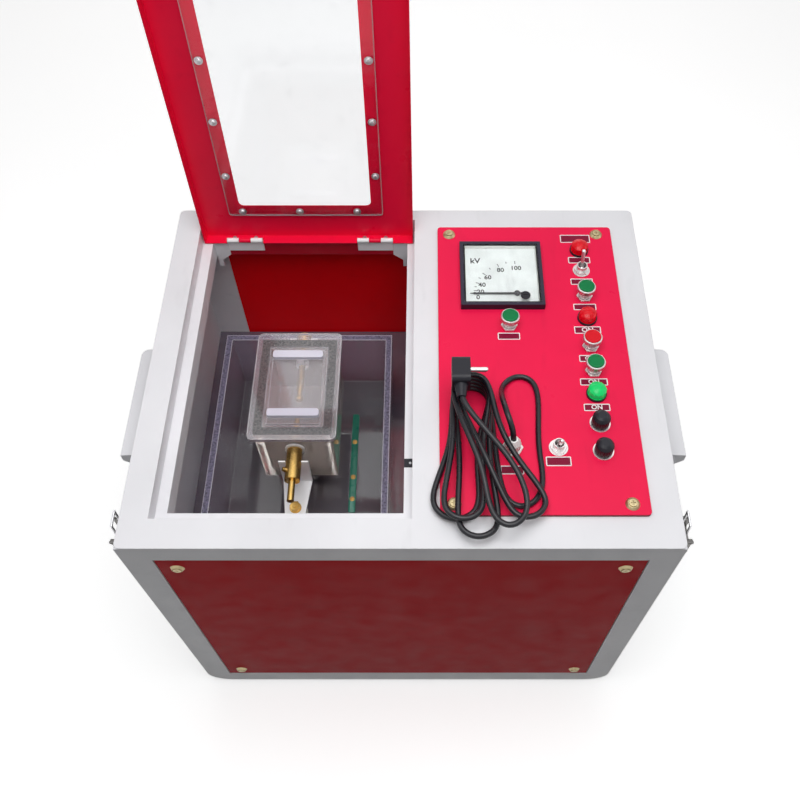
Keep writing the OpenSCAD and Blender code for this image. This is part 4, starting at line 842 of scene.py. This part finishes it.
@dataclass
class Studio:
    """The camera at the photograph's place, the lamps, the world and the floor."""

    eye: Point = (25, -561, 1285)
    pitch: float = 32.3
    focal: float = 39.7
    sensor: float = 36.0
    shift: float = -0.0325
    aim: Point = (0, 0, 350)
    glow: float = 0.11
    floor_side: float = 9000
    floor_glow: float = 0.5
    floor_dark: Colour = (0.07, 0.07, 0.07)
    floor_pale: tuple = ((0.93, 0.93, 0.93), (0.95, 0.95, 0.95))
    lamps: tuple = (
        ("key", (0, -260, 1650), 900, 9.8),
        ("overhead", (150, 300, 2600), 2400, 15.0),
        ("left_fill", (-2600, -300, 1900), 1600, 5.5),
        ("right_fill", (2600, 100, 1500), 1600, 7.0),
        ("rear_fill", (-200, 2700, 1300), 1600, 8.0),
    )

    def camera(self) -> None:
        """Makes the scene's camera."""
        data = bpy.data.cameras.new("camera")
        data.lens = self.focal
        data.sensor_width = self.sensor
        data.shift_x = self.shift
        camera = bpy.data.objects.new("camera", data)
        camera.location = mm(*self.eye)
        camera.rotation_euler = (math.radians(self.pitch), 0, 0)
        bpy.context.scene.collection.objects.link(camera)
        bpy.context.scene.camera = camera

    def light(self) -> None:
        """Makes the soft lamps, each aimed at the tester."""
        aim = mm(*self.aim)
        for name, place, side, power in self.lamps:
            data = bpy.data.lights.new(name, "AREA")
            data.shape = "SQUARE"
            data.size = metres(side)
            data.energy = power
            lamp = bpy.data.objects.new(name, data)
            lamp.location = mm(*place)
            lamp.rotation_euler = (aim - lamp.location).to_track_quat("-Z", "Y").to_euler()
            bpy.context.scene.collection.objects.link(lamp)

    def world(self) -> None:
        """Makes a grey world that is white where it is seen."""
        world = bpy.data.worlds.new("studio_world")
        world.use_nodes = True
        tree = world.node_tree
        paths = tree.nodes.new("ShaderNodeLightPath")
        seen = paths.outputs["Is Camera Ray"]
        for kind in ("Is Glossy Ray", "Is Transmission Ray"):
            either = tree.nodes.new("ShaderNodeMath")
            either.operation = "MAXIMUM"
            tree.links.new(seen, either.inputs[0])
            tree.links.new(paths.outputs[kind], either.inputs[1])
            seen = either.outputs["Value"]
        strength = tree.nodes.new("ShaderNodeMapRange")
        strength.inputs["To Min"].default_value = self.glow
        strength.inputs["To Max"].default_value = 1.0
        tree.links.new(seen, strength.inputs["Value"])
        background = tree.nodes["Background"]
        background.inputs["Color"].default_value = WHITE
        tree.links.new(strength.outputs["Result"], background.inputs["Strength"])
        bpy.context.scene.world = world
        bpy.context.scene.view_settings.view_transform = "Standard"

    def floor(self) -> None:
        """Makes the plain floor, pale where it is seen and grey where it only throws light back."""
        deselect()
        bpy.ops.mesh.primitive_plane_add(size=metres(self.floor_side), location=(0, 0, cad_low.z))
        floor = bpy.context.object
        floor.name = "studio_floor"
        settle(floor)
        graph = ShaderGraph("studio_floor")
        paths = graph.add("ShaderNodeLightPath")
        seen = paths.outputs["Is Camera Ray"]
        for kind in ("Is Glossy Ray", "Is Transmission Ray"):
            seen = graph.math("MAXIMUM", seen, paths.outputs[kind])
        pale = graph.blend(graph.span(graph.noise(3.0), 0.0, 1.0), *self.floor_pale)
        graph.paint(graph.blend(seen, self.floor_dark, pale))
        graph.set(Roughness=0.8, Specular_IOR_Level=0.1, Emission_Color=WHITE)
        glow = graph.math("MULTIPLY", seen, self.floor_glow)
        graph.join(glow, graph.shader.inputs["Emission Strength"])
        floor.data.materials.append(graph.material)


@dataclass
class MainsLead:
    """The black lead from its gland to the plug on the hank."""

    panel_z: float = 487.0
    front_y: float = -225.0
    radius: float = 3.0
    layer: float = 6.5
    lead: tuple = (
        (114, 109, 1.1), (114, 109, 2.6), (113, 111, 4.6), (107, 123, 6.3), (104, 142, 5.4),
        (104, 160, 3.1), (105, 177, 0.8), (112, 192, 0), (127, 199, 0), (142, 191, 0),
        (146, 168, 0), (140, 112, 0), (144, 80, 0), (141, 54, 0), (124, 39, 0), (105, 46, 0),
        (99, 72, 0), (97, 100, 0), (94, 135, 0), (94, 162, 0), (88, 178, 0), (73, 184, 0),
        (58, 178, 0), (52, 162, 0),
    )
    tail: tuple = (
        (60, 124, 5.2), (80, 75, 4.5), (84, 44, 3.3), (90, 20, 3), (105, 10, 3), (121, 20, 3),
        (125, 42, 3.4), (112, 74, 4.8), (86, 106, 5.8), (67, 130, 6.4), (61, 143, 6.5),
        (61, 153, 6.5),
    )
    hank_rear: Point = (73, 163)
    hank_rear_r: float = 21.0
    arc_step: int = 45
    turns: tuple = (
        ((55, 52), 26, (12, 10), (1, 0.5, 0, 0.8)),
        ((76, 27), 22, (13, 12), (2, 1.6, 1, 1.9)),
        ((62, 43), 22, (13, 12), (3, 2.6, 2, 2.8)),
        ((124, 46), 21, (20, 1), (4, 4.3, 1.2, 3.7)),
    )

    def turn(self, front: Point, front_r: float, bow: Point, layers: Point) -> list[tuple]:
        """Finds one turn of the hank.

        Args:
            front: The middle of its front end, across and from the front face.
            front_r: The front end's radius.
            bow: How far its left and right runs stand from its middle line.
            layers: The layers of its rear end, left run, front end and right run.

        Returns:
            The turn's points: across, from the front face, and the layer.
        """
        up = Vector((self.hank_rear[0] - front[0], self.hank_rear[1] - front[1])).normalized()
        right = Vector((up.y, -up.x))
        middle = (Vector(front) + Vector(self.hank_rear)) / 2
        points = [(*(middle - right * bow[0]), layers[1])]
        points += self.arc(front, front_r, up, 180, layers[2])
        points += [(*(middle + right * bow[1]), layers[3])]
        points += self.arc(self.hank_rear, self.hank_rear_r, up, 0, layers[0])
        return points

    def arc(
        self, centre: Point, radius: float, up: Vector, start: int, layer: float
    ) -> list[tuple]:
        """Finds the half round at an end of a turn.

        Args:
            centre: The middle of the end.
            radius: The end's radius.
            up: The way from the hank's front to its rear.
            start: Where it starts, in degrees from the end's right side.
            layer: The layer that it lies on.

        Returns:
            The half round's points: across, from the front face, and the layer.
        """
        right = Vector((up.y, -up.x))
        points = []
        for angle in range(start, start + 181, self.arc_step):
            turned = math.radians(angle)
            way = right * math.cos(turned) + up * math.sin(turned)
            points.append((*(Vector(centre) + way * radius), layer))
        return points

    def route(self) -> list[Vector]:
        """Strings the lead, the hank's turns and the tail together.

        Returns:
            The centre line from gland to plug, in metres.
        """
        steps = list(self.lead)
        for front, front_r, bow, layers in self.turns:
            steps += self.turn(front, front_r, bow, layers)
        steps += list(self.tail)
        low = self.panel_z + self.radius
        return [mm(x, self.front_y + y, low + layer * self.layer) for x, y, layer in steps]

    def build(self) -> None:
        points = self.route()
        data = bpy.data.curves.new("mains_lead", "CURVE")
        data.dimensions = "3D"
        spline = data.splines.new("NURBS")
        spline.points.add(len(points) - 1)
        for target, point in zip(spline.points, points):
            target.co = (*point, 1.0)
        spline.order_u = 4
        spline.use_endpoint_u = True
        spline.resolution_u = 8
        data.bevel_depth = metres(self.radius)
        data.bevel_resolution = 3
        data.use_fill_caps = True
        lead = bpy.data.objects.new("mains_lead", data)
        bpy.context.scene.collection.objects.link(lead)
        coat(lead, SHEATH, "housing", ["mains_cord"])


def edit_all(piece: bpy.types.Object) -> None:
    """Opens a piece in edit mode with all of it selected.

    Args:
        piece: The mesh piece.
    """
    choose(piece)
    bpy.ops.object.mode_set(mode="EDIT")
    bpy.ops.mesh.select_all(action="SELECT")


def edit_faces(
    piece: bpy.types.Object, wanted: Callable[[bpy.types.MeshPolygon], bool]
) -> None:
    """Opens a piece in edit mode with the faces selected that a test picks.

    Args:
        piece: The mesh piece.
        wanted: Tells whether a face is one of them.
    """
    choose(piece)
    for face in piece.data.polygons:
        face.select = wanted(face)
    bpy.ops.object.mode_set(mode="EDIT")
    bpy.ops.mesh.select_mode(type="FACE")


def extrude_up(rise: float) -> None:
    """Extrudes what is selected upwards by millimetres."""
    bpy.ops.mesh.extrude_region_move(TRANSFORM_OT_translate={"value": (0, 0, metres(rise))})


def lettering(words: str, place: Point, size: float, height: float) -> bpy.types.Object:
    """Makes upright letters that lie flat, centred on a place.

    Args:
        words: What they say.
        place: The middle of their lower face, in millimetres.
        size: The letters' size, in millimetres.
        height: Their thickness, in millimetres.

    Returns:
        The letters as a mesh.
    """
    deselect()
    bpy.ops.object.text_add(location=mm(*place))
    letters = bpy.context.object
    letters.data.body = words
    letters.data.size = metres(size)
    letters.data.extrude = metres(height) / 2
    letters.data.offset = metres(size) * LETTER_WEIGHT
    letters.data.resolution_u = 3
    letters.data.align_x = "CENTER"
    letters.data.align_y = "CENTER"
    letters.location.z += metres(height) / 2
    choose(letters)
    bpy.ops.object.convert(target="MESH")
    return bpy.context.object


def bar(place: Point, size: Point, turn: float = 0.0, soften: float = 0.0) -> bpy.types.Object:
    """Makes a flat bar on a place.

    Args:
        place: The middle of its lower face, in millimetres.
        size: Its width, depth and thickness, in millimetres.
        turn: Its turn about +Z, in degrees.
        soften: How much its corners are rounded, in millimetres.

    Returns:
        The bar, with its place still on the object.
    """
    deselect()
    about_z = (0, 0, math.radians(turn))
    bpy.ops.mesh.primitive_plane_add(size=1, location=mm(*place), rotation=about_z)
    piece = bpy.context.object
    piece.scale = (metres(size[0]), metres(size[1]), 1)
    choose(piece)
    bpy.ops.object.transform_apply(location=False, rotation=False, scale=True)
    edit_all(piece)
    if soften:
        bpy.ops.mesh.bevel(offset=metres(soften), segments=3, affect="VERTICES")
    extrude_up(size[2])
    bpy.ops.object.mode_set(mode="OBJECT")
    return piece


def copy_to(
    master: bpy.types.Object, places: Iterable[Point], tilt: float = 0.0
) -> list[bpy.types.Object]:
    """Copies a piece made round the origin, each copy with its own mesh, and removes the first.

    Args:
        master: The piece to copy.
        places: Where the copies go, in millimetres.
        tilt: Their turn about +X, in degrees.

    Returns:
        The copies.
    """
    copies = []
    for place in places:
        twin = master.copy()
        twin.data = master.data.copy()
        twin.location = mm(*place)
        twin.rotation_euler = (math.radians(tilt), 0, 0)
        bpy.context.scene.collection.objects.link(twin)
        copies.append(twin)
    bpy.data.objects.remove(master)
    return copies


@dataclass(frozen=True)
class DomeScrew:
    """A domed, slotted screw head on its washer, with its top towards +Z."""

    radius: float
    washer_r: float
    washer_h: float = 1.2
    washer_z: float = 0.2
    wall: float = 0.3
    dome: tuple = ((0.22, 0.86), (0.12, 0.62))
    slot_w: float = 0.7
    slot_z: float = 0.8
    slot_rise: float = 0.35
    slot_l: float = 2.2

    def build(self) -> bpy.types.Object:
        """Makes the screw head round the origin from its washer.

        Returns:
            The screw head.
        """
        deselect()
        bpy.ops.mesh.primitive_cylinder_add(
            vertices=24,
            radius=metres(self.washer_r),
            depth=metres(self.washer_h),
            location=mm(0, 0, self.washer_z),
        )
        head = bpy.context.object
        edit_all(head)
        bpy.ops.mesh.select_all(action="DESELECT")
        edit_faces(head, lambda face: face.normal.z > FACING_UP)
        bpy.ops.mesh.inset(thickness=metres(self.washer_r - self.radius))
        extrude_up(self.radius * self.wall)
        for rise, size in self.dome:
            extrude_up(self.radius * rise)
            bpy.ops.transform.resize(value=(size, size, 1))
        bpy.ops.object.mode_set(mode="OBJECT")
        self.slot(head)
        head.name = "screw_master"
        return head

    def slot(self, head: bpy.types.Object) -> None:
        """Cuts the slot across the dome.

        Args:
            head: The screw head.
        """
        low = self.slot_z + self.radius * self.slot_rise
        groove = bar((0, 0, low), (self.slot_w, self.radius * self.slot_l, self.radius))
        settle(groove)
        apply_modifier(head, "BOOLEAN", operation="DIFFERENCE", object=groove, solver="EXACT")
        bpy.data.objects.remove(groove)


@dataclass
class PanelLabels:
    """The printed plates of the control panel: a white line round a crimson field."""

    panel_z: float = 487.0
    line: float = 1.1
    height: float = 0.4
    corner: float = 1.0
    sunk: float = 0.05
    field_sunk: float = 0.1
    word_size: float = 0.85
    word_sunk: float = 0.2
    word_height: float = 0.3
    same_level: float = 0.02
    plates: tuple = (
        (205, 174, 36, 12.5, ""), (207, 140, 26, 9.8, ""), (207, 107, 26, 9, ""),
        (207, 69.5, 26, 9, ""), (207, 36.5, 30, 10, "ON"), (207, -2.5, 26, 9, "OFF"),
        (207, -33.5, 30, 9, "ON"), (207, -66, 28, 9, "ON"), (118, 28, 25, 9.5, ""),
        (161, -131, 26, 11, ""), (113, -141, 24, 10, ""),
    )

    def plate(self, place: Point) -> bpy.types.Object:
        """Makes one plate, its field sunk a little inside its line.

        Args:
            place: Its middle across and along, its width, its depth and its word.

        Returns:
            The plate, with its place still on the object.
        """
        x, y, width, depth, _ = place
        low = self.panel_z - self.sunk
        piece = bar((x, y, low), (width, depth, self.height), soften=self.corner)
        edit_faces(piece, lambda face: face.center.z > metres(self.height) / 2)
        bpy.ops.mesh.inset(thickness=metres(self.line))
        bpy.ops.transform.translate(value=(0, 0, -metres(self.field_sunk)))
        bpy.ops.object.mode_set(mode="OBJECT")
        return piece

    def build(self) -> None:
        """Makes the plates and their words."""
        made = [self.plate(place) for place in self.plates]
        plates = complete("panel_labels", made, LABEL_WHITE, "housing")
        plates.data.materials.append(LABEL_FIELD.material())
        field_z = metres(self.panel_z - self.sunk + self.height - self.field_sunk)
        for face in plates.data.polygons:
            face.material_index = int(abs(face.center.z - field_z) < metres(self.same_level))
        word_z = self.panel_z + self.height - self.word_sunk
        words = [
            lettering(word, (x, y, word_z), depth * self.word_size, self.word_height)
            for x, y, _, depth, word in self.plates
            if word
        ]
        complete("label_words", words, LABEL_WHITE, "housing")


@dataclass
class DialPrint:
    """The scale of the meter: a quarter arc, its marks, its numbers and the unit."""

    pivot: Point = (130, 86)
    face_z: float = 489.5
    radius: float = 50.0
    line: float = 0.8
    ink: float = 0.12
    long_mark: float = 4.5
    short_mark: float = 2.6
    number_size: float = 8.5
    unit_size: float = 11
    angles: tuple = (180, 174, 160, 141, 115, 90)
    numbers: tuple = (
        ("0", -45, -4.8), ("20", -41.9, 3.2), ("40", -39.8, 13.6), ("60", -32.8, 24.8),
        ("80", -17.5, 36), ("100", 0.7, 39),
    )
    unit: Point = (83, 136)

    def arc(self) -> bpy.types.Object:
        """Makes the quarter arc from a ring that is cut twice.

        Returns:
            The arc.
        """
        deselect()
        centre = mm(*self.pivot, self.face_z)
        bpy.ops.mesh.primitive_circle_add(
            vertices=160, radius=metres(self.radius), location=centre
        )
        arc = bpy.context.object
        settle(arc)
        edit_all(arc)
        bpy.ops.mesh.extrude_region_move()
        factor = 1 - self.line / self.radius
        bpy.ops.transform.resize(value=(factor, factor, 1), center_override=centre)
        for normal in ((1, 0, 0), (0, -1, 0)):
            bpy.ops.mesh.select_all(action="SELECT")
            bpy.ops.mesh.bisect(plane_co=centre, plane_no=normal, clear_outer=True)
        bpy.ops.mesh.select_all(action="SELECT")
        extrude_up(self.ink)
        bpy.ops.object.mode_set(mode="OBJECT")
        return arc

    def mark(self, angle: float, length: float) -> bpy.types.Object:
        """Makes one mark across the arc, inwards from it.

        Args:
            angle: Its angle about the pointer's pivot, in degrees.
            length: Its length, in millimetres.

        Returns:
            The mark.
        """
        turned = math.radians(angle)
        reach = self.radius - length / 2
        place = (
            self.pivot[0] + reach * math.cos(turned),
            self.pivot[1] + reach * math.sin(turned),
            self.face_z,
        )
        return bar(place, (length, self.line, self.ink), angle)

    def build(self) -> None:
        """Prints the arc, the marks, the numbers and the unit."""
        between = [(a + b) / 2 for a, b in zip(self.angles, self.angles[1:])]
        pieces = [self.arc()]
        pieces += [self.mark(angle, self.long_mark) for angle in self.angles]
        pieces += [self.mark(angle, self.short_mark) for angle in between]
        for number, right, back in self.numbers:
            place = (self.pivot[0] + right, self.pivot[1] + back, self.face_z)
            pieces.append(lettering(number, place, self.number_size, self.ink))
        pieces.append(lettering("kV", (*self.unit, self.face_z), self.unit_size, self.ink))
        complete("dial_print", pieces, PRINT_BLACK, "housing")


@dataclass
class LidScrews:
    """The screws that hold the clear sheet in the open lid, and those of the hinge leaves."""

    hinge: Point = (190.1, 467.0)
    lean: float = 3.0
    inner: float = 7.0
    outer: float = 11.2
    columns: tuple = (-196, -127, -58)
    sides: tuple = (-206.5, -33.5)
    side_rows: tuple = (95, 170, 245, 320)
    end_rows: tuple = (41, 341)
    inside: DomeScrew = DomeScrew(3.0, 4.6)
    outside: DomeScrew = DomeScrew(3.0, 3.8)
    leaf: DomeScrew = DomeScrew(2.0, 2.6)
    leaf_columns: tuple = (-212, -186, -51, -25)
    leaf_back: float = 4.6
    leaf_sunk: float = 0.1

    def place(self, x: float, along: float, depth: float) -> Point:
        """Finds a point on the open lid.

        Args:
            x: Its place across.
            along: Its distance from the hinge's axis along the lid.
            depth: Its height above the axis with the lid closed.

        Returns:
            The point in millimetres.
        """
        lean = math.radians(self.lean)
        y = self.hinge[0] + along * math.sin(lean) + depth * math.cos(lean)
        z = self.hinge[1] + along * math.cos(lean) - depth * math.sin(lean)
        return (x, y, z)

    def build(self) -> None:
        """Makes the screws inside, their heads outside and the hinge leaves' screws."""
        spots = [(x, along) for along in self.end_rows for x in self.columns]
        spots += [(x, along) for x in self.sides for along in self.side_rows]
        sets = (
            ("window_screws", self.inside, self.inner, 90),
            ("window_screw_heads", self.outside, self.outer, -90),
        )
        for name, screw, depth, tilt in sets:
            places = [self.place(x, along, depth) for x, along in spots]
            complete(name, copy_to(screw.build(), places, tilt - self.lean), ZINC, "lid")
        back, top = self.hinge[0] + self.leaf_back, self.hinge[1] - self.leaf_sunk
        places = [(x, back, top) for x in self.leaf_columns]
        complete("hinge_leaf_screws", copy_to(self.leaf.build(), places), ZINC, "lid")


@dataclass
class EarthStrap:
    """The green strap that lies on the floor of the barrier box, held by three screws."""

    x: float = -71.0
    ends: Point = (-76, 72)
    width: float = 9.0
    thickness: float = 1.6
    sunk: float = 0.05
    corner: float = 2.5
    rim: float = 1.2
    crown: float = 0.5
    floor_z: float = 245.0
    screw: DomeScrew = DomeScrew(2.2, 3.2)
    screw_lift: float = 0.3
    screws: tuple = (28, -25, -57)

    def build(self) -> None:
        """Makes the strap with its raised middle, and its screws."""
        front, back = self.ends
        strap = bar(
            (self.x, (front + back) / 2, self.floor_z - self.sunk),
            (self.width, back - front, self.thickness),
            soften=self.corner,
        )
        settle(strap)
        half_way = metres(self.floor_z + self.thickness / 2)
        edit_faces(strap, lambda face: face.normal.z > FACING_UP and face.center.z > half_way)
        bpy.ops.mesh.inset(thickness=metres(self.rim))
        bpy.ops.transform.translate(value=(0, 0, metres(self.crown)))
        bpy.ops.object.mode_set(mode="OBJECT")
        strap.name = "earth_strap"
        finish_mesh(strap)
        coat(strap, GREEN_WIRE, "housing")
        top = self.floor_z + self.thickness + self.screw_lift
        screws = copy_to(self.screw.build(), [(self.x, y, top) for y in self.screws])
        complete("earth_strap_screws", screws, BRASS, "housing")


@dataclass
class SwitchPlunger:
    """The domed plunger of the interlock switch, which stops short of its bore's floor."""

    place: Point = (8.4, -120)
    span: Point = (455.8, 463.9)
    radius: float = 1.5
    dome: float = 0.6
    dome_steps: tuple = (0.85, 0.6)

    def build(self) -> None:
        """Makes the plunger, which stands for the frame's own."""
        low, high = self.span
        height = high - low - self.dome
        deselect()
        bpy.ops.mesh.primitive_cylinder_add(
            vertices=32,
            radius=metres(self.radius),
            depth=metres(height),
            location=mm(*self.place, low + height / 2),
        )
        plunger = bpy.context.object
        settle(plunger)
        edit_faces(plunger, lambda face: face.normal.z > FACING_UP)
        for factor in self.dome_steps:
            extrude_up(self.dome / len(self.dome_steps))
            bpy.ops.transform.resize(value=(factor, factor, 1))
        bpy.ops.object.mode_set(mode="OBJECT")
        plunger.name = "switch_plunger"
        finish_mesh(plunger)
        coat(plunger, ZINC, "interlock_plunger", ["interlock_plunger"])


@dataclass
class FrameFinishes:
    """The finish of every node that stays as the CAD made it."""

    table: tuple = (
        (WHITE_PAINT, "cabinet side_handles"),
        # Hinge leaves and cup brackets: the lighter copy of the white coat, painted light.
        (LIGHTENED_WHITE_PAINT, "hinge_frame_leaves cup_brackets"),
        # Top frame: dark red painted shade on the rear flange's front face.
        (FRAME_PAINT_SHADED_FLANGE, "top_frame"),
        (RED_PAINT, "lid_pan hinge_lid_leaves"),
        # Control panel: its sides painted dark, painted shade.
        (PANEL_RED_SHADED_SIDES, "control_panel"),
        # Rear panel: the lighter copy of the red enamel, painted light.
        (LIGHTENED_REAR_RED, "rear_panel"),
        # Front panel: the darker copy of the red enamel, painted shade.
        (SHADED_FRONT_RED, "front_panel"),
        (GREY_COAT, "partition drive_motor"),
        (FLOOR_SHEET, "chamber_floor"),
        (YELLOW_ZINC, "panel_screws"),
        (RUBBER, "feet"),
        (LATCH_STEEL, "latch_bases latch_lever_left latch_lever_right"),
        (ZINC, "latch_bail_left latch_bail_right variac_rotor"),
        (LID_SHEET, "lid_window"),
        (BARRIER_SHEET, "barrier_box"),
        (CUP_SHEET, "oil_cup"),
        (COVER_SHEET, "cup_cover"),
        (METER_SHEET, "meter_glass"),
        (PORCELAIN, "bushings"),
        (BRASS, "bracket_bolts electrode_front electrode_rear stem_collars motor_pinion"),
        (WHITE_PLASTIC, "stem_washers cord_gland"),
        (BLACK_PLASTIC, "interlock_switch meter_pointer meter_adjuster lamp_bodies"),
        (BLACK_PLASTIC, "fuse_cap_rear fuse_cap_front plug_body"),
        (METER_BLACK, "meter_case"),
        (DIAL_FACE, "meter_dial"),
        (TANK_PAINT, "hv_transformer"),
        (COPPER, "variac_core"),
        (BOARD, "relay_board"),
        (NICKEL, "button_bodies toggle_bodies toggle_lever_rear toggle_lever_front"),
        (NICKEL, "fuse_holders plug_pins"),
        (GREEN_PLASTIC, "button_cap_hold button_cap_start button_cap_on"),
        (RED_PLASTIC, "button_cap_off"),
        (RED_LENS, "lamp_lenses_red"),
        (GREEN_LENS, "lamp_lens_green"),
    )

    def build(self) -> None:
        """Dresses every node."""
        for finish, names in self.table:
            dress(finish, *names.split())


def main() -> None:
    """Builds the sub-assemblies in order."""
    logging.basicConfig(level=logging.INFO, format="%(name)s %(message)s")
    studio = Studio()
    studio.camera()
    MainsLead().build()
    studio.light()
    studio.world()
    studio.floor()
    FrameFinishes().build()
    PanelLabels().build()
    DialPrint().build()
    LidScrews().build()
    EarthStrap().build()
    SwitchPlunger().build()


if __name__ == "__main__":
    main()
